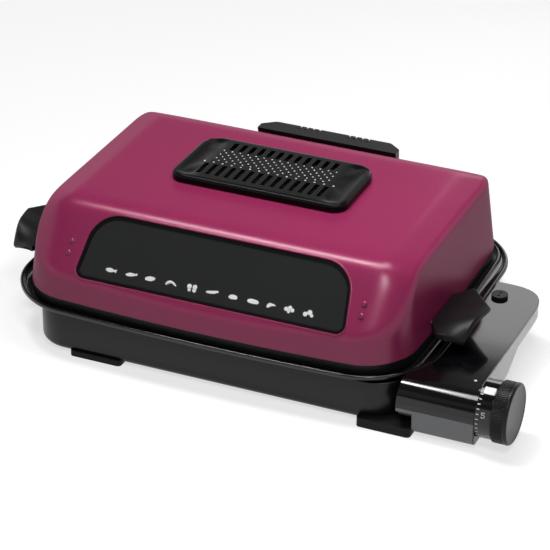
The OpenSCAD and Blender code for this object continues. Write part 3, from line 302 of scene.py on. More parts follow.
def ring_skin(rings, closed=False):
    """Vertices and faces of a skin through rings of equally many points, outside outwards.
    Open ends are closed by fans from their middles."""
    n, m = len(rings[0]), len(rings)
    points = [p for r in rings for p in r]
    faces = []
    for k in range(m if closed else m - 1):
        a, b = k * n, (k + 1) % m * n
        faces += [(a + i, a + (i + 1) % n, b + (i + 1) % n, b + i) for i in range(n)]
    if not closed:
        for ring, low in ((0, True), (m - 1, False)):
            middle = [sum(p[c] for p in rings[ring]) / n for c in range(3)]
            points.append(middle)
            tip, s = len(points) - 1, ring * n
            faces += [(tip, s + (i + 1) % n, s + i) if low else (tip, s + i, s + (i + 1) % n)
                      for i in range(n)]
    return points, faces


def smooth(mesh, degrees=32):
    """Smooth shading with sharp edges over an angle."""
    mesh.polygons.foreach_set("use_smooth", [True] * len(mesh.polygons))
    mesh.set_sharp_from_angle(angle=math.radians(degrees))


def solid(name, points, faces, material, degrees=32):
    """An object from points in mm from the pan's middle."""
    mesh = bpy.data.meshes.new(name)
    mesh.from_pydata([at(*p) for p in points], [], faces)
    mesh.materials.append(material)
    made = link_new(name, mesh)
    smooth(mesh, degrees)
    return made


def cut(target, cutter, degrees=32):
    """Takes a cutter's volume out of a piece and removes the cutter."""
    modifier = target.modifiers.new("cut", "BOOLEAN")
    modifier.operation = "DIFFERENCE"
    modifier.solver = "EXACT"
    modifier.object = cutter
    settle(target)
    bpy.data.objects.remove(cutter)
    smooth(target.data, degrees)


def settle(target):
    """Turns a piece with its modifiers into a plain mesh."""
    graph = bpy.context.evaluated_depsgraph_get()
    mesh = bpy.data.meshes.new_from_object(target.evaluated_get(graph))
    target.modifiers.clear()
    old = target.data
    target.data = mesh
    mesh.name = target.name
    bpy.data.meshes.remove(old)


def dress(material, *names):
    """Gives built pieces their finish and smooth shading."""
    for name in names:
        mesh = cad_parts[name].data
        mesh.materials.clear()
        mesh.materials.append(material)
        smooth(mesh, 30)


def opening(half_x, half_y, x=0, y=0):
    """The corners of a rectangular opening, anticlockwise."""
    return [(x + sx * half_x, y + sy * half_y) for sx, sy in ((-1, -1), (1, -1), (1, 1), (-1, 1))]


def body_ring(inset, z):
    """The tub's outline at a height, inset from its outer face."""
    points = outline(BODY_HALF[0] - inset, BODY_HALF[1] - inset, BODY_RADIUS - inset)
    return [(x + BODY_SHIFT, y, z) for x, y in points]


def body_edge(wall):
    """Rings of the rounded lower edge at a depth inside the outer face."""
    r = BODY_EDGE - wall
    angles = [math.radians(15 * k) for k in range(7)]
    return [body_ring(wall + r * (1 - math.sin(a)), BODY_LOW + wall + r * (1 - math.cos(a)))
            for a in angles]


# Smooth-moulded ABS: black with a soft sheen along the edges
body_black = finish("body_moulding_black", "#0b0b0c", 0.32, grain_mm=0.4, grain_depth_mm=0.01, shine=0.33)
# Spark-eroded ABS: a fine even grain that breaks up the light
satin_black = finish("satin_black_moulding", "#141416", 0.4,
                     grain_mm=0.35, grain_depth_mm=0.015, shine=0.22)
body = solid("body_moulding", *ring_skin(
    body_edge(0)
    + [body_ring(i, z) for i, z in ((0, 43), (0.2, 43.4), (0.7, 43.6), (1.8, 43.6), (2.5, 43.2))]
    + body_edge(BODY_WALL)[::-1]
), body_black)
access = opening(*ACCESS_HALF)
cut(body, solid("access_cutter", *ring_skin([level(access, 0), level(access, 9)]), satin_black))
dress(satin_black, "body_tub")
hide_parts("body_tub")
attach(body, "base")

# ---- Feet, bottom plate and its screws ----
# Four moulded rubber pads are pressed into the tub's underside. A louvred steel
# plate closes the opening below the heater and is held by plated screws.

# Moulded rubber: dull and nearly without wear
rubber = finish("foot_rubber", "#0d0d0e", 0.6, grain_mm=0.3, grain_depth_mm=0.02, wear=0.05, shine=0.2)
# Cold-rolled steel sheet: brush lines along its length
steel_plate = finish("rolled_steel", "#b4b6b9", 0.32, metal=1.0, grain_mm=0.4, grain_depth_mm=0.006,
                     stretch=(0.03, 1, 1), wear_colour="#e0e0e0")
# Zinc-plated steel: an even grey shine
screw_steel = finish("zinc_plated_steel", "#a9abae", 0.3, metal=1.0, grain_mm=0.3, grain_depth_mm=0.004)
dress(rubber, "foot_front_left", "foot_front_right", "foot_rear_left", "foot_rear_right")
dress(steel_plate, "bottom_plate")
dress(screw_steel, "bottom_screws")

# ---- Lower heater ----
# A bent sheathed element lies in clips on a steel reflector under the pan, with
# its thermostat against the pan and a ceramic fuse in its lead.

# Heat-darkened steel sheath: brown-grey and uneven
heater_sheath = finish("heater_sheath", "#55504c", 0.5, metal=0.8,
                       grain_mm=0.5, grain_depth_mm=0.02, uneven=0.2)
# Fired steatite: warm white with a fine bite
ceramic = finish("fired_ceramic", "#e3dccb", 0.4, grain_mm=0.4, grain_depth_mm=0.02)
dress(heater_sheath, "lower_heater")
dress(steel_plate, "lower_reflector", "lower_heater_clips", "pan_thermostat")
dress(ceramic, "thermal_fuse")

# ---- Roasting pan ----
# One aluminium casting with a non-stick coat: a rolled lip, a trough with a low
# ridge that the lid's skirt stands in, and the deep pan, which drops into the tub.
PAN_HALF = (174.5, 148.5)
PAN_BOW = (1.7, 2.25)
RIM_HALF = (215, 156)
RIM_RADIUS = 69
RIM_BOW = (3.4, 9)
RIDGE_HALF = (198, 150.2)
LID_RADIUS = 46


def pan_ring(inset, z):
    """The deep pan's outline at a height."""
    return level(outline(PAN_HALF[0] - inset, PAN_HALF[1] - inset, LID_RADIUS, PAN_BOW), z)


def rim_ring(inset, z):
    """The rolled lip's outline at a height."""
    return level(outline(RIM_HALF[0] - inset, RIM_HALF[1] - inset, RIM_RADIUS - inset, RIM_BOW), z)


def ridge_ring(grow, z):
    """The outline of the ridge in the trough at a height."""
    return level(outline(RIDGE_HALF[0] + grow, RIDGE_HALF[1] + grow / 3, LID_RADIUS + grow / 3, RIM_BOW), z)


# Smooth non-stick coat: deep black with a clear line of light on each edge
pan_coating = finish("pan_coating", "#0b0b0d", 0.13,
                     grain_mm=0.6, grain_depth_mm=0.003, wear=0.25, shine=0.55)
pan = solid("pan_casting", *ring_skin(
    [pan_ring(i, z) for i, z in ((13.5, 22.5), (10, 23.5), (6.5, 26.2), (3, 34), (0.3, 43.9))]
    + [rim_ring(i, z) for i, z in (
        (4, 43.9), (3.2, 45.5), (1.4, 45.7), (0.5, 45.9), (0.1, 46.4), (0, 47), (0, 48.4), (0.15, 49.1),
        (0.6, 49.7), (1.4, 50), (2.4, 50), (3.2, 49.7), (3.7, 49.1), (4, 48.2), (4.4, 47.4), (5.2, 46.9))]
    + [ridge_ring(g, z) for g, z in (
        (5.6, 46.9), (5, 47.2), (4.6, 48), (4, 48.5), (3, 48.6), (2, 48.5), (1.4, 48), (1, 47.2),
        (0.4, 46.9))]
    + [pan_ring(i, z) for i, z in (
        (1.9, 46.8), (2.5, 46), (5.2, 37), (7.7, 30), (9.5, 27), (12, 25.4), (15.5, 25))]
), pan_coating, 40)
dress(pan_coating, "roasting_pan")
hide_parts("roasting_pan")
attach(pan, "base")

# ---- Wire grill ----
# A bent wire frame on short legs with straight rods spot-welded across it. It
# stands on the pan's floor and lifts out.

# Bright nickel plate: small sharp highlights
steel_wire = finish("plated_wire", "#c8cacc", 0.18, metal=1.0, grain_mm=0.4, grain_depth_mm=0.003)
dress(steel_wire, "grill_frame", "grill_rods", "grill_legs")

# ---- Hinge brackets and pins ----
# Two brackets moulded from satin black plastic stand at the tub's rear. Each holds
# a plated steel pin, on which one of the lid's arms turns.

dress(satin_black, "hinge_bracket_left", "hinge_bracket_right")
dress(screw_steel, "hinge_pin_left", "hinge_pin_right")

# ---- Control wing ----
# A polished black upper shell runs out to a round barrel. A grey lower shell and a
# light side wall close it, and it holds the timer, the terminals and the gland.

# Polished ABS: mirror-like, with the slow waves of a moulded sheet
gloss_black = finish("gloss_black_moulding", "#08080a", 0.1, grain_mm=1.5, grain_depth_mm=0.002,
                     wave_mm=40, wave_depth_mm=0.04, shine=0.5)
# Plain ABS in light silver and in mid grey: a soft gloss
# The silver is near white: light silver with painted light added, as the trim faces away from the lamps
silver = finish("silver_moulding_painted_light", "#f8f8f9", 0.3,
                grain_mm=0.5, grain_depth_mm=0.004, wear_colour="#ffffff")
grey = finish("grey_moulding", "#7b7c7e", 0.3,
              grain_mm=0.5, grain_depth_mm=0.004, wear_colour="#c0c0c0")
# Unpainted polypropylene: cream and dull
timer_case = finish("timer_case_moulding", "#d9d4c8", 0.5, grain_mm=0.4, grain_depth_mm=0.02)
# Screen-printed ink: flat white
white_print = finish("white_print", "#f4f4f4", 0.45, grain_mm=0.2, grain_depth_mm=0.004, wear=0.0)
dress(gloss_black, "wing_top", "barrel_end_cap")
dress(silver, "wing_side_trim")
dress(grey, "wing_bottom")
dress(satin_black, "lid_contact_seat")
dress(white_print, "dial_index_dot")
dress(timer_case, "timer_movement")
dress(ceramic, "terminal_block")
dress(rubber, "cord_gland")
dress(screw_steel, "wing_screws")

# ---- Timer dial ----
# A numbered ring and a ribbed grip, both moulded and pressed on the timer's steel
# shaft. The grip has a smooth outer band, a rounded edge and a slightly hollow face.
DIAL_Y, DIAL_Z = -135, 33
RING_RADIUS = 27.4
RIB_COUNT = 96
RIB_SIZE = (10.6, 0.95, 1.1)
RIB_X, RIB_RADIUS = 296.2, 28.45
TICK_COUNT = 30
TICK_SIZE = (2.6, 1.1, 0.16)
TICK_X = 277.6
MINUTE = math.radians(10)
OFF_ANGLE = math.radians(67)


def lathe(profile, steps=128):
    """Rings around the dial's axis from pairs of x and radius, from left to right."""
    turns = [2 * math.pi * k / steps for k in range(steps)]
    return [[(x, DIAL_Y + r * math.cos(a), DIAL_Z + r * math.sin(a)) for a in turns] for x, r in profile]


# Satin ABS: black with a grey cast, duller than the ring beside it
grip_black = finish("grip_moulding", "#1c1c1e", 0.34, grain_mm=0.3, grain_depth_mm=0.006, shine=0.22)
dress(screw_steel, "timer_shaft")
dress(gloss_black, "dial_ring")
dress(satin_black, "dial_grip")
grip = solid("dial_grip_turned", *ring_skin(lathe([
    (277.6, 6.6), (289.9, 6.9), (290, 27.4), (290.2, 28.1), (290.7, 28.5), (301.6, 28.5), (301.8, 29.0),
    (302.2, 29.2), (303.8, 29.2), (304.8, 28.9), (305.5, 28.2), (305.9, 27.4), (306, 26.6), (305.7, 25.9),
    (305.5, 24.5), (305.5, 1)])), grip_black, 50)
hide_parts("dial_grip")
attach(grip, "timer_dial")


def new_tree(name, inputs):
    """A tree of Geometry Nodes with named inputs and a Geometry output."""
    tree = bpy.data.node_groups.new(name, "GeometryNodeTree")
    for label, kind in inputs:
        tree.interface.new_socket(name=label, in_out="INPUT", socket_type="NodeSocket" + kind)
    tree.interface.new_socket(name="Geometry", in_out="OUTPUT", socket_type="NodeSocketGeometry")
    return tree, tree.nodes.new("NodeGroupInput").outputs


def close_tree(tree, points, shape, material, rotation=None):
    """Ends a tree: instances of a shape on points, made real, with a material."""
    values = {"Points": points, "Instance": shape}
    if rotation is not None:
        values["Rotation"] = rotation
    placed = add(tree, "GeometryNodeInstanceOnPoints", **values)
    real = add(tree, "GeometryNodeRealizeInstances", Geometry=placed.outputs[0])
    painted = add(tree, "GeometryNodeSetMaterial", Geometry=real.outputs[0], Material=material)
    end = tree.nodes.new("NodeGroupOutput")
    tree.links.new(painted.outputs[0], end.inputs[0])


def grown(name, tree, **values):
    """A plain mesh from a tree of Geometry Nodes, its named inputs set by identifier."""
    made = link_new(name, bpy.data.meshes.new(name))
    modifier = made.modifiers.new("grow", "NODES")
    modifier.node_group = tree
    for item in tree.interface.items_tree:
        if item.in_out == "INPUT":
            modifier[item.identifier] = values[item.name]
    settle(made)
    return made


# Boxes around the dial's axis. Angles run from the front upwards.
around, given = new_tree("around_dial", [
    ("Count", "Int"), ("First", "Float"), ("Step", "Float"), ("Radius", "Float"), ("Middle", "Vector"),
    ("Size", "Vector"), ("Finish", "Material")])
spots = add(around, "GeometryNodePoints", Count=given["Count"])
order = add(around, "GeometryNodeInputIndex")
turned = add(around, "ShaderNodeMath", {"operation": "MULTIPLY_ADD"},
             Value_0=order.outputs[0], Value_1=given["Step"], Value_2=given["First"])
across = add(around, "ShaderNodeMath", {"operation": "COSINE"}, Value_0=turned.outputs[0])
rise = add(around, "ShaderNodeMath", {"operation": "SINE"}, Value_0=turned.outputs[0])
toward = add(around, "ShaderNodeMath", {"operation": "MULTIPLY"}, Value_0=across.outputs[0], Value_1=-1.0)
spoke = add(around, "ShaderNodeCombineXYZ", X=0.0, Y=toward.outputs[0], Z=rise.outputs[0])
reach = add(around, "ShaderNodeVectorMath", {"operation": "SCALE"},
            Vector_0=spoke.outputs[0], Scale=given["Radius"])
spot = add(around, "ShaderNodeVectorMath", {"operation": "ADD"},
           Vector_0=reach.outputs[0], Vector_1=given["Middle"])
moved = add(around, "GeometryNodeSetPosition", Geometry=spots.outputs[0], Position=spot.outputs[0])
lean = add(around, "ShaderNodeMath", {"operation": "SUBTRACT"},
           Value_0=math.pi / 2, Value_1=turned.outputs[0])
tilt = add(around, "ShaderNodeCombineXYZ", X=lean.outputs[0], Y=0.0, Z=0.0)
around_box = add(around, "GeometryNodeMeshCube", Size=given["Size"])
close_tree(around, moved.outputs[0], around_box.outputs[0], given["Finish"], tilt.outputs[0])
ribs = grown("dial_ribs", around, Count=RIB_COUNT, First=0.0, Step=2 * math.pi / RIB_COUNT,
             Radius=RIB_RADIUS * MM, Middle=at(RIB_X, DIAL_Y, DIAL_Z), Size=Vector(RIB_SIZE) * MM,
             Finish=grip_black)
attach(ribs, "timer_dial")
ticks = grown("dial_ticks", around, Count=TICK_COUNT, First=OFF_ANGLE - MINUTE, Step=-MINUTE,
              Radius=(RING_RADIUS + 0.02) * MM, Middle=at(TICK_X, DIAL_Y, DIAL_Z),
              Size=Vector(TICK_SIZE) * MM, Finish=white_print)
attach(ticks, "timer_dial")


def stroke(path, width, place):
    """Closed strips along a path of flat points, put in place by a function of u, v and height."""
    points, faces = [], []
    for (ax, ay), (bx, by) in zip(path, path[1:]):
        length = math.hypot(bx - ax, by - ay)
        dx, dy = (bx - ax) / length * width / 2, (by - ay) / length * width / 2
        flat = [(ax - dx + dy, ay - dy - dx), (bx + dx + dy, by + dy - dx),
                (bx + dx - dy, by + dy + dx), (ax - dx - dy, ay - dy + dx)]
        n = len(points)
        points += [place(u, v, 0) for u, v in flat] + [place(u, v, 1) for u, v in flat]
        faces += [(n + 3, n + 2, n + 1, n), (n + 4, n + 5, n + 6, n + 7)]
        faces += [(n + i, n + (i + 1) % 4, n + 4 + (i + 1) % 4, n + 4 + i) for i in range(4)]
    return points, faces


def joined(parts):
    """Points and faces of several meshes as one."""
    points, faces = [], []
    for p, f in parts:
        n = len(points)
        points += p
        faces += [tuple(i + n for i in face) for face in f]
    return points, faces


# Figures as strokes in a box of 4 by 6 units
FIGURES = {
    "0": [(1, 0), (3, 0), (4, 1), (4, 5), (3, 6), (1, 6), (0, 5), (0, 1), (1, 0)],
    "1": [(0.8, 4.8), (2, 6), (2, 0)],
    "2": [(0, 5), (1, 6), (3, 6), (4, 5), (4, 3.8), (0, 0), (4, 0)],
    "3": [(0, 5), (1, 6), (3, 6), (4, 5), (4, 4), (3, 3.1), (1.6, 3.1), (3, 3.1), (4, 2.2), (4, 1), (3, 0),
          (1, 0), (0, 1)],
    "5": [(3.8, 6), (0.3, 6), (0.3, 3.5), (2.8, 3.6), (4, 2.7), (4, 1), (3, 0), (1, 0), (0, 0.8)],
}
FIGURE_UNIT = 0.78
FIGURE_STROKE = 0.75
FIGURE_X = 281.4
FIGURE_PITCH = 5.2
figure_parts = []
for minutes in range(5, 31, 5):
    angle = OFF_ANGLE - MINUTE * minutes
    for k, figure in enumerate(str(minutes)):
        start = FIGURE_X + k * FIGURE_PITCH * FIGURE_UNIT

        def on_ring(u, v, h, start=start, angle=angle):
            a = angle + (v - 3) * FIGURE_UNIT / RING_RADIUS
            r = RING_RADIUS + 0.14 * h - 0.02
            return (start + u * FIGURE_UNIT, DIAL_Y - r * math.cos(a), DIAL_Z + r * math.sin(a))

        figure_parts.append(stroke(FIGURES[figure], FIGURE_STROKE / FIGURE_UNIT, on_ring))
figures = solid("dial_figures", *joined(figure_parts), white_print)
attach(figures, "timer_dial")
# The plain white patch of the off position
PATCH_X = (278.4, 288.8)
PATCH_LOW, PATCH_TURN, PATCH_ROWS = -8, 17, 8
patch_rings = []
for k in range(PATCH_ROWS + 1):
    a = OFF_ANGLE + math.radians(PATCH_LOW + PATCH_TURN * k / PATCH_ROWS)
    inner_r, outer_r = RING_RADIUS - 0.05, RING_RADIUS + 0.12
    patch_rings.append([(x, DIAL_Y - r * math.cos(a), DIAL_Z + r * math.sin(a))
                        for x, r in ((PATCH_X[0], inner_r), (PATCH_X[0], outer_r),
                                     (PATCH_X[1], outer_r), (PATCH_X[1], inner_r))])
patch = solid("off_patch", *ring_skin(patch_rings), white_print)
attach(patch, "timer_dial")

# ---- Lid shell ----
# One steel sheet pressed to a flat top, a steep windowed front, shallow end slopes
# and a gentle rear slope, with soft creases, and lacquered in pearl raspberry.
LID_HALF = (196, 149.4)
LID_LOW, LID_TOP = 57.7, 140.0
SHEET = 2.0
PANEL_HALF = (163, 103.5)
PANEL_SHIFT = -1.5
FRONT_EDGE = PANEL_SHIFT - PANEL_HALF[1]
REAR_EDGE = PANEL_SHIFT + PANEL_HALF[1]
END_DRAFT = 6
END_DROP = 8.5
FRONT_CREASE = (-156.4, 76.2)
FRONT_SLOPE = (LID_TOP - FRONT_CREASE[1]) / (FRONT_EDGE - FRONT_CREASE[0])
END_SLOPE = END_DROP / (LID_HALF[0] - END_DRAFT - PANEL_HALF[0])
REAR_SLOPE = 0.5
HIP_SLOPE = 1.35
HIP_SOFT = 11.0
HIP_CUT = 17
HIP_REACH = PANEL_HALF[0] - FRONT_EDGE + HIP_CUT
CREASE_SOFT = 6.0
REAR_SOFT = 1.5
END_SOFT = 0.7
# How far in from the panel's edge the even rings end, and the radius of the last one
ROOF_INSET, ROOF_RADIUS = 22, 14
# On the slopes the sheet measures more than its thickness straight down
SLOPED_SHEET = 1.3
WALL_STEPS, BEND_STEPS, ROOF_STEPS = 6, 6, 30


def soft_min(values, softness):
    """The least of some heights, rounded over where two are nearly alike."""
    low = min(values)
    return low - softness * math.log(sum(math.exp((low - v) / softness) for v in values))


def roof(x, y):
    """Height of the lid's outside over a point, in mm."""
    table = soft_min([LID_TOP, LID_TOP - (abs(x) - PANEL_HALF[0]) * END_SLOPE], END_SOFT)
    table = soft_min([table, LID_TOP - (y - REAR_EDGE) * REAR_SLOPE], REAR_SOFT)
    front = soft_min([table, LID_TOP + (y - FRONT_EDGE) * FRONT_SLOPE], CREASE_SOFT)
    return soft_min([front, LID_TOP - END_DROP - (abs(x) - y - HIP_REACH) * HIP_SLOPE], HIP_SOFT)


def wall_ring(inset, z):
    """The lid's upright wall at a height."""
    f = max(0, min(1, (z - LID_LOW) / (LID_TOP - LID_LOW - END_DROP)))
    return outline(LID_HALF[0] - END_DRAFT * f - inset, LID_HALF[1] - 2 * f - inset,
                   LID_RADIUS + 6 * f - inset, (RIM_BOW[0] * (1 - f), RIM_BOW[1] * (1 - f)))


def lid_rings(inset, low, crease_reach):
    """Rings of the lid's form from its lower edge over the crease to the middle of the top."""
    n = len(wall_ring(inset, low))
    drop = inset * SLOPED_SHEET
    low_ring = wall_ring(inset, LID_LOW)
    high_ring = wall_ring(inset, LID_TOP - END_DROP)
    panel = [(x, y + PANEL_SHIFT) for x, y in outline(
        PANEL_HALF[0] - ROOF_INSET - inset, PANEL_HALF[1] - ROOF_INSET - inset, ROOF_RADIUS)]

    def on_wall(i, z):
        f = max(0, min(1, (z - LID_LOW) / (LID_TOP - LID_LOW - END_DROP)))
        lower, upper = low_ring[i], high_ring[i]
        return (lower[0] + (upper[0] - lower[0]) * f, lower[1] + (upper[1] - lower[1]) * f, z)

    def on_roof(i, t):
        ax, ay, _ = on_wall(i, creases[i])
        x, y = ax + (panel[i][0] - ax) * t, ay + (panel[i][1] - ay) * t
        return (x, y, roof(x, y) - drop)

    # The height at which wall and roof meet, found in a few rounds at each point
    creases = [LID_TOP - 20.0] * n
    for _ in range(8):
        tables = {}
        for i in range(n):
            key = round(creases[i], 1)
            if key not in tables:
                tables[key] = wall_ring(inset, creases[i])
            x, y = tables[key][i]
            creases[i] = roof(x, y) - drop
    # The part of each roof line that the crease's bend takes up
    starts = []
    for i in range(n):
        px, py = panel[i]
        length = math.dist(on_wall(i, creases[i]), (px, py, roof(px, py)))
        starts.append(crease_reach / max(1.0, length))
    rings = []
    for k in range(WALL_STEPS + 1):
        rings.append([on_wall(i, low + (creases[i] - crease_reach - low) * k / WALL_STEPS)
                      for i in range(n)])
    for k in range(1, BEND_STEPS):
        t = k / BEND_STEPS
        ring = []
        for i in range(n):
            a = on_wall(i, creases[i] - crease_reach)
            b = on_wall(i, creases[i])
            c = on_roof(i, starts[i])
            ring.append(tuple(a[j] * (1 - t) ** 2 + b[j] * 2 * t * (1 - t) + c[j] * t * t
                              for j in range(3)))
        rings.append(ring)
    for k in range(ROOF_STEPS + 1):
        rings.append([on_roof(i, starts[i] + (1 - starts[i]) * k / ROOF_STEPS) for i in range(n)])
    for scale in (0.7, 0.35):
        ring = [(x * scale, (y - PANEL_SHIFT) * scale + PANEL_SHIFT) for x, y in panel]
        rings.append([(x, y, roof(x, y) - drop) for x, y in ring])
    return rings


# Pearl lacquer on pressed steel: fine flakes under a clear coat, bright on the creases.
# The flakes are drawn at 0.25 mm, coarser than real ones, so that they show.
raspberry = finish("raspberry_lacquer", "#952a57", 0.36, metal=0.1, coat=0.18,
                   grain_mm=0.35, grain_depth_mm=0.002, uneven=0.03, wear=0.12, wear_colour="#d79ab8",
                   flake=0.10, coat_rough=0.26, coat_ior=2.4, shine=0.0)
CREASE_REACH = 6.0
outer = lid_rings(0, LID_LOW, CREASE_REACH)
inner = lid_rings(SHEET, LID_LOW, CREASE_REACH)
lid_points, lid_faces = ring_skin(list(reversed(inner)) + outer)
lid = solid("lid_pressing", lid_points, lid_faces, raspberry)

# The window's opening in the front slope
WINDOW_X = 5
WINDOW_MID_Y = FRONT_EDGE - 24.5
WINDOW_MID_Z = LID_TOP + (WINDOW_MID_Y - FRONT_EDGE) * FRONT_SLOPE
WINDOW_TILT = math.atan(FRONT_SLOPE)
WINDOW_HALF = 138.5
WINDOW_HALF_TOP = 130.5
WINDOW_HALF_LENGTH = 32.5
WINDOW_RADII = (9, 9, 30, 30)


def on_slope(u, v, w=0.0):
    """A point of the lid's front slope: u to the right, v up the slope, w outwards, in mm."""
    c, s = math.cos(WINDOW_TILT), math.sin(WINDOW_TILT)
    return (WINDOW_X + u, WINDOW_MID_Y + v * c - w * s, WINDOW_MID_Z + v * s + w * c)


def rounded(corners, radii, steps=12):
    """A polygon with its corners rounded."""
    points = []
    n = len(corners)
    for k in range(n):
        b = Vector(corners[k])
        u = (Vector(corners[k - 1]) - b).normalized()
        w = (Vector(corners[(k + 1) % n]) - b).normalized()
        half = math.acos(u.dot(w)) / 2
        r = radii[k]
        middle = b + (u + w).normalized() * r / math.sin(half)
        first, last = b + u * r / math.tan(half), b + w * r / math.tan(half)
        a0 = math.atan2(first.y - middle.y, first.x - middle.x)
        a1 = math.atan2(last.y - middle.y, last.x - middle.x)
        turn = (a1 - a0 + math.pi) % (2 * math.pi) - math.pi
        for i in range(steps + 1):
            a = a0 + turn * i / steps
            points.append((middle.x + r * math.cos(a), middle.y + r * math.sin(a)))
    return points


def window_outline(grow):
    """The window opening's flat outline, grown by some mm."""
    hw, ht, hl = WINDOW_HALF + grow, WINDOW_HALF_TOP + grow, WINDOW_HALF_LENGTH + grow
    return rounded([(-hw, -hl), (hw, -hl), (ht, hl), (-ht, hl)], [r + grow for r in WINDOW_RADII])


def window_ring(grow, w):
    """The same outline on the slope, w mm outwards."""
    return [on_slope(u, v, w) for u, v in window_outline(grow)]


cut(lid, solid("window_cutter", *ring_skin([window_ring(0.3, -12), window_ring(0.3, 12)]), raspberry))
# The smoke duct's opening in the top
VENT_X, VENT_Y = 1, 15.5
DUCT_HALF = (75, 34)
duct = opening(*DUCT_HALF, VENT_X, VENT_Y)
cut(lid, solid("duct_cutter", *ring_skin([level(duct, LID_TOP - 8), level(duct, LID_TOP + 8)]), raspberry))
# Three shallow dimples pressed into the top
DIMPLE_RADIUS = 5.0
DIMPLE_DEPTH = 0.45
DIMPLE_PLACES = ((91.8, -67.6), (-24, 90.9), (23.9, 92.4))
turns = [math.radians(15 * k) for k in range(24)]
tilts = [math.radians(6 * k) for k in range(1, 20)]
for x, y in DIMPLE_PLACES:
    ball = [[(x + DIMPLE_RADIUS * math.sin(a) * math.cos(b), y + DIMPLE_RADIUS * math.sin(a) * math.sin(b),
              LID_TOP + DIMPLE_RADIUS - DIMPLE_DEPTH - DIMPLE_RADIUS * math.cos(a)) for b in turns]
            for a in tilts]
    cut(lid, solid("dimple_cutter", *ring_skin(ball), raspberry))
# Even shading of the flat top where the dimples cut into its faces
even = lid.modifiers.new("even", "WEIGHTED_NORMAL")
even.keep_sharp = True
settle(lid)
dress(raspberry, "lid_shell")
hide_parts("lid_shell")
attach(lid, "lid")

# ---- Lid skirt ----
# A matt black band round the lid's lower edge, moulded and clipped over the sheet.
# It stands in the pan's trough when the lid is shut.

dress(satin_black, "lid_skirt")

# ---- Window ----
# A pane of smoked tempered glass in a rubber seal, let into the front slope inside
# a rolled lip, with two rivet heads at each side and white prints on its face.

# Smoked tempered glass: near black, with clear reflections
dark_glass = finish("smoked_glass", "#1e1f20", 0.05, grain_mm=2.0, grain_depth_mm=0.0008,
                    uneven=0.1, rough_spread=0.02, wear=0.05, shine=0.5)
# Extruded silicone rubber: a dull black line
seal_black = finish("seal_rubber", "#070708", 0.4, grain_mm=0.3, grain_depth_mm=0.01, wear=0.0, shine=0.15)
dress(dark_glass, "window_glass")
dress(seal_black, "window_seal")
dress(raspberry, "window_rivets")
# The lip's section: distance outwards from the opening and height over the slope
LIP_PROFILE = ((0.4, -1.8), (0.4, -0.1), (0.7, 0.25), (1.2, 0.4), (1.8, 0.3), (2.3, 0), (2.3, -1.8))
lip = solid("window_lip", *ring_skin([window_ring(g, w) for g, w in LIP_PROFILE], closed=True), raspberry)
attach(lip, "lid")
# Eleven small white prints in a row above the glass's lower edge, one for each food
GLASS_OUT = -1.8
PRINT_THICK = 0.1
PRINT_ROW_V = -19.4
PRINT_U = (-102.8, -81.6, -61.7, -40.1, -18.3, 2.4, 23.6, 44.1, 61.9, 80.2, 99.1)


def disc(x, y, r):
    """Eight points round a middle."""
    turns = [2 * math.pi * k / 8 for k in range(8)]
    return [(x + r * math.cos(a), y + r * math.sin(a)) for a in turns]


# Outlines in mm: three fish, a prawn, a bivalve, a squid, a fillet, a loaf, a leg
# and two piles of small pieces
FOODS = [
    [[(-6, 0.2), (-3.5, 2.1), (0.5, 2.3), (3.6, 0.7), (6.4, 2.2), (5.7, 0), (6.2, -2), (3.6, -0.6),
      (0.5, -2), (-3.5, -1.8)]],
    [[(-6.2, -1.6), (-4, 1), (0, 2.1), (4.2, 1.4), (6.6, 2.8), (6.2, -0.4), (4.4, -0.2), (0, -2)]],
    [[(-5.2, -2), (-5, 0.6), (-1, 2.6), (5.2, 2.2), (5.2, -0.2), (1, -2.3)]],
    [[(-5.6, -2.2), (-4.8, 0.8), (-1.5, 2.8), (2.5, 2.2), (5.6, -0.6), (6.4, -2.2), (4, -1.2),
      (1.5, 0.4), (-1, 0.7), (-3, -0.6), (-3.6, -2.3)]],
    [disc(-2.9, 1.2, 2.5), disc(2.7, 1.4, 2.5), disc(-2.3, -1.9, 1.9), disc(2.8, -1.8, 2.1)],
    [[(-6.8, -1.2), (-5.6, 0.8), (0, 1.6), (5, 2.8), (6.8, 1.7), (4, -0.3), (-1, -1.5)]],
    [[(-5, -2.2), (-3.6, 2.2), (3.6, 2.4), (5.2, -2)]],
    [[(-5.6, -2), (-6, 1), (-3, 2.4), (4, 2), (6, 0), (5, -2.2)]],
    [[(-4.6, -2.6), (-2.6, 2.6), (4.4, 1.4), (5, 0), (0.6, -0.3), (-1.4, -2.6)]],
    [disc(-3, 0, 2.1), disc(0.6, 1.6, 2.2), disc(3.4, -0.2, 2), disc(0, -1.9, 1.8)],
    [disc(-2.6, -1, 2.4), disc(1.4, 1.2, 2.6), disc(3.9, -1.3, 1.7)],
]


def softened(points):
    """A closed outline with its corners cut twice."""
    for _ in range(2):
        after = points[1:] + points[:1]
        points = [p for (ax, ay), (bx, by) in zip(points, after)
                  for p in ((ax * 0.75 + bx * 0.25, ay * 0.75 + by * 0.25),
                            (ax * 0.25 + bx * 0.75, ay * 0.25 + by * 0.75))]
    return points


print_parts = []
for u, shapes in zip(PRINT_U, FOODS):
    for shape in shapes:
        turn = sum(ax * by - bx * ay for (ax, ay), (bx, by) in zip(shape, shape[1:] + shape[:1]))
        ring = softened(shape if turn > 0 else shape[::-1])
        print_parts.append(ring_skin([[on_slope(u + x, PRINT_ROW_V + y, GLASS_OUT + h) for x, y in ring]
                                      for h in (0.01, PRINT_THICK)]))
prints = solid("window_prints", *joined(print_parts), white_print)
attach(prints, "lid")

# ---- Lid handles ----
# Two satin black tabs, moulded and screwed to the lid's ends from inside. Each is a
# plate that lifts towards its outer edge, cut back at the rear and slanted in front.
HANDLE_FRONT, HANDLE_LENGTH = -90, 80
HANDLE_Z, HANDLE_THICK = 70, 6
HANDLE_REACH, HANDLE_WIDTH = 245, 45.6
HANDLE_EDGE = 0.7
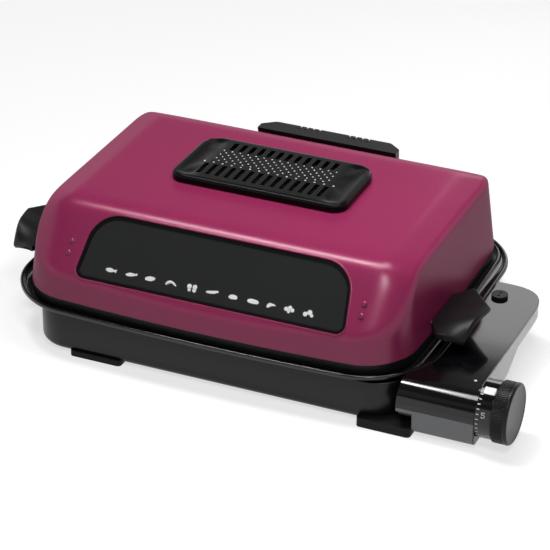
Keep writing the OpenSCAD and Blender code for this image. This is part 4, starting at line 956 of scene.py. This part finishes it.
# Along the tab, from 0 at its front to 1 at its rear: where it is widest, where the
# gap beside the lid ends and where it has risen to its full height
HANDLE_WIDEST, HANDLE_GAP_END, HANDLE_RISEN = 0.65, 0.27, 0.4
HANDLE_FRONT_TAPER, HANDLE_REAR_TAPER = 0.2, 0.53
HANDLE_GAP, HANDLE_RISE, HANDLE_SLANT = 13, 14.6, 8


def handle_section(t):
    """The handle's cross-section at t, from 0 at its front to 1 at its rear."""
    y = HANDLE_FRONT + HANDLE_LENGTH * t
    f = (HANDLE_Z - 4 - LID_LOW) / (LID_TOP - LID_LOW - END_DROP)
    x0 = LID_HALF[0] - END_DRAFT * f + RIM_BOW[0] * (1 - f) * (1 - (y / LID_HALF[1]) ** 2) + 0.3
    if t < HANDLE_WIDEST:
        tip = HANDLE_FRONT_TAPER * ((HANDLE_WIDEST - t) / HANDLE_WIDEST) ** 1.3
    else:
        tip = HANDLE_REAR_TAPER * (t - HANDLE_WIDEST) / (1 - HANDLE_WIDEST)
    x0 += HANDLE_GAP * max(0, (HANDLE_GAP_END - t) / HANDLE_GAP_END)
    x1 = HANDLE_REACH - HANDLE_WIDTH * tip
    z = HANDLE_Z - 5 + HANDLE_RISE * math.sin(math.radians(90 * min(1, t / HANDLE_RISEN)))
    outer_y = y + HANDLE_SLANT * (1 - t) ** 2
    xi = x0 + 0.2 * (x1 - x0)
    top = [(x0, y, HANDLE_Z), (xi, y, HANDLE_Z + 1)]
    for s in (0.25, 0.5, 0.75):
        top.append((xi + (x1 - 2 - xi) * s, y + (outer_y - y) * s, HANDLE_Z + 1 + (z - 0.4 - HANDLE_Z) * s))
    top.append((x1 - 2, outer_y, z + 0.6))
    outer = [(x1, outer_y, z - HANDLE_THICK * 0.3), (x1, outer_y, z - HANDLE_THICK * 0.7)]
    under = [(px, py, pz - HANDLE_THICK - (0.6 if k == 0 else 0))
             for k, (px, py, pz) in enumerate(reversed(top))]
    return top + outer + under


def soften(piece, width, degrees):
    """Rounds a piece's edges that are sharper than an angle."""
    edge = piece.modifiers.new("soft_edge", "BEVEL")
    edge.width = width * MM
    edge.segments = 3
    edge.limit_method = "ANGLE"
    edge.angle_limit = math.radians(degrees)


HANDLE_STEPS = 20
handle_rings = [handle_section(k / HANDLE_STEPS) for k in range(HANDLE_STEPS + 1)]
for side, name, node in ((1, "handle_tab_right", "handle_right"), (-1, "handle_tab_left", "handle_left")):
    rings = handle_rings if side > 0 else [[(-x, y, z) for x, y, z in reversed(r)] for r in handle_rings]
    handle = solid(name, *ring_skin(rings), satin_black)
    soften(handle, HANDLE_EDGE, 38)
    settle(handle)
    smooth(handle.data, 42)
    dress(satin_black, node)
    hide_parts(node)
    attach(handle, "lid")
dress(screw_steel, "handle_screws")

# ---- Upper heater and smoke filter ----
# A second sheathed element hangs in clips from a steel reflector inside the lid.
# Above it a steel frame holds the honeycomb block that burns off smoke.

# Coated cordierite: grey-brown and open-pored
catalyst = finish("catalyst_ceramic", "#8f8a80", 0.8, grain_mm=0.5, grain_depth_mm=0.06, uneven=0.15)
dress(steel_plate, "upper_reflector", "upper_heater_clips", "catalyst_frame")
dress(heater_sheath, "upper_heater")
dress(catalyst, "smoke_catalyst")

# ---- Rear wiring cover ----
# A notched satin black box behind the lid hides its wires. Two steel arms, screwed
# on under it, carry the lid on the hinge pins.

dress(satin_black, "rear_cover")
dress(steel_plate, "hinge_arm_left", "hinge_arm_right")
COVER_EDGE = 1.2
soften(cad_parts["rear_cover"], COVER_EDGE, 35)

# ---- Vent cover ----
# A black moulded hood over the smoke filter, which lifts off with the mesh under it.
# It has upright sides, hollowed ends, two rows of slots and rows of pips between.
VENT_WIDTH, VENT_DEPTH = 183, 94
VENT_LOW, VENT_TOP = 140.3, 149.3
HOOD_TOP = 148.7
VENT_WALL = 2.5
VENT_RADII = (15, 15, 22, 22)
# The rear edge is this much shorter at each end
VENT_TAPER = 1
SLOTS_X = VENT_X - 1.5
# Depth of the hollowed ends and, from the middle outwards, where they start and end
HOLLOW_DEPTH = 1.7
HOLLOW_START, HOLLOW_END, HOLLOW_SIDE = (64, 74), (80, 88), (36, 44)


def vent_ring(grow, z, scale=1.0):
    """The hood's outline at a height, hollowed where it is the top."""
    hf, hb, hd = VENT_WIDTH / 2 + grow, VENT_WIDTH / 2 - VENT_TAPER + grow, VENT_DEPTH / 2 + grow
    corners = rounded([(-hf, -hd), (hf, -hd), (hb, hd), (-hb, hd)], [r + grow for r in VENT_RADII])
    points = []
    for k, steps in enumerate((24, 12, 24, 12)):
        arc = corners[k * 13:k * 13 + 13]
        points += arc
        (ax, ay), (bx, by) = arc[-1], corners[(k + 1) % 4 * 13]
        points += [(ax + (bx - ax) * i / steps, ay + (by - ay) * i / steps) for i in range(1, steps)]
    ring = []
    for x, y in points:
        x, y = x * scale, y * scale
        ring.append((x + VENT_X, y + VENT_Y, z - (dish(x, y) if z > HOOD_TOP - 0.3 else 0)))
    return ring


def ease(low, high, value):
    """A smooth rise from 0 at low to 1 at high."""
    t = max(0, min(1, (value - low) / (high - low)))
    return t * t * (3 - 2 * t)


def dish(x, y):
    """Depth of the hood's top below its edge: hollowed ends with a corner rib."""
    end = ease(*HOLLOW_START, abs(x)) * (1 - ease(*HOLLOW_END, abs(x)))
    rib = math.exp(-((abs(x) - 66 - abs(y) * 0.35) / 3) ** 2) * ease(8, 20, abs(y))
    return HOLLOW_DEPTH * end * (1 - 0.6 * rib) * (1 - ease(*HOLLOW_SIDE, abs(y)))


# Smooth-moulded heat-proof nylon: the darkest of the black mouldings
vent_black = finish("vent_moulding", "#070708", 0.3, grain_mm=0.35, grain_depth_mm=0.008, shine=0.12)
# Light grey all over the pips: a painted highlight that stands for the glints on their tips
pip_painted_highlight = finish("pip_tips_painted_highlight", "#cfd0d2", 0.35, grain_mm=0.2, grain_depth_mm=0.004)
# Woven steel darkened by smoke, and made nearly black as painted shade for the hollow under the hood seen
# through the slots: dull
smoked_mesh_painted_shade = finish("smoke_darkened_steel_painted_shade", "#060505", 0.6, metal=0.2,
                     grain_mm=0.4, grain_depth_mm=0.01, wear=0.02, shine=0.05)
dress(smoked_mesh_painted_shade, "vent_mesh")
dress(satin_black, "vent_cover")
VENT_EDGE = -3.2
VENT_TOP_STEPS = 20
vent_outer = [vent_ring(g, z) for g, z in (
    (-0.3, VENT_LOW), (0, VENT_LOW + 0.5), (0, 145.6), (-0.2, 146.7), (-0.7, 147.6), (-1.5, 148.2),
    (-2.4, 148.5), (VENT_EDGE, HOOD_TOP))]
vent_outer += [vent_ring(VENT_EDGE, HOOD_TOP, k / VENT_TOP_STEPS) for k in range(VENT_TOP_STEPS - 1, 0, -1)]
vent_inner = [vent_ring(-VENT_WALL, VENT_LOW), vent_ring(-VENT_WALL - 1.5, HOOD_TOP - VENT_WALL)]
vent_inner.append(vent_ring(-VENT_WALL - 1.5, HOOD_TOP - VENT_WALL, 0.1))
hood = solid("vent_hood", *ring_skin(list(reversed(vent_inner)) + vent_outer), vent_black, 40)


def row_tree(name, shape, size_input, size_kind, **settings):
    """A tree of Geometry Nodes that sets one shape along a straight row."""
    tree, given = new_tree(name, [("Count", "Int"), ("Start", "Vector"), ("Step", "Vector"),
                                  (size_input, size_kind), ("Finish", "Material")])
    line = add(tree, "GeometryNodeMeshLine", {"mode": "OFFSET"}, Count=given["Count"],
               Start_Location=given["Start"], Offset=given["Step"])
    settings[size_input] = given[size_input]
    one = add(tree, shape, **settings)
    close_tree(tree, line.outputs[0], one.outputs[0], given["Finish"])
    return tree


bar_row = row_tree("bar_row", "GeometryNodeMeshCube", "Size", "Vector")
pip_row = row_tree("pip_row", "GeometryNodeMeshIcoSphere", "Radius", "Float", Subdivisions=2)


def along(count, pitch):
    """Where a row of this many places starts in x, centred on the slots."""
    return SLOTS_X - pitch * (count - 1) / 2


# Name, count, pitch, length and middle of each row of slots
SLOT_ROWS = (("front_slots", 14, 9.69, 23, -8.5), ("back_slots", 12, 9.73, 16.5, 45))
SLOT_WIDTH, SLOT_DEPTH, SLOT_MIDDLE_Z = 5.0, 9, 149
for name, count, pitch, length, y in SLOT_ROWS:
    cut(hood, grown(name, bar_row, Count=count, Start=at(along(count, pitch), y, SLOT_MIDDLE_Z),
                    Step=Vector((pitch * MM, 0, 0)), Size=Vector((SLOT_WIDTH, length, SLOT_DEPTH)) * MM,
                    Finish=vent_black), 40)
# The cover's inner floor, open over the duct
tray = solid("vent_floor", *ring_skin(
    [vent_ring(0.3 - VENT_WALL, VENT_LOW + z) for z in (0.05, 0.75)]), vent_black)
cut(tray, solid("tray_cutter", *ring_skin(
    [level(duct, LID_TOP - 2), level(duct, LID_TOP + 4)]), vent_black))
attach(tray, "vent_cap")
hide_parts("vent_cover")
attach(hood, "vent_cap")
# A front row of larger pips between the slots, then six staggered rows of small ones
PIP_PITCH = 8.5
PIP_RADIUS = 0.95
PIP_FIRST_Y, PIP_ROW_STEP, PIP_ROWS = 11.5, 4.6, 6
pip_rows = [(15, 9.69, 6.4, 1.2)]
pip_rows += [(14 + k % 2, PIP_PITCH, PIP_FIRST_Y + PIP_ROW_STEP * k, PIP_RADIUS) for k in range(PIP_ROWS)]
# Each pip's light grey is a painted highlight
for k, (count, pitch, y, radius) in enumerate(pip_rows):
    pips = grown("vent_pips_%d" % k, pip_row, Count=count,
                 Start=at(along(count, pitch), y, VENT_TOP - radius),
                 Step=Vector((pitch * MM, 0, 0)), Radius=radius * MM, Finish=pip_painted_highlight)
    smooth(pips.data, 60)
    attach(pips, "vent_cap")
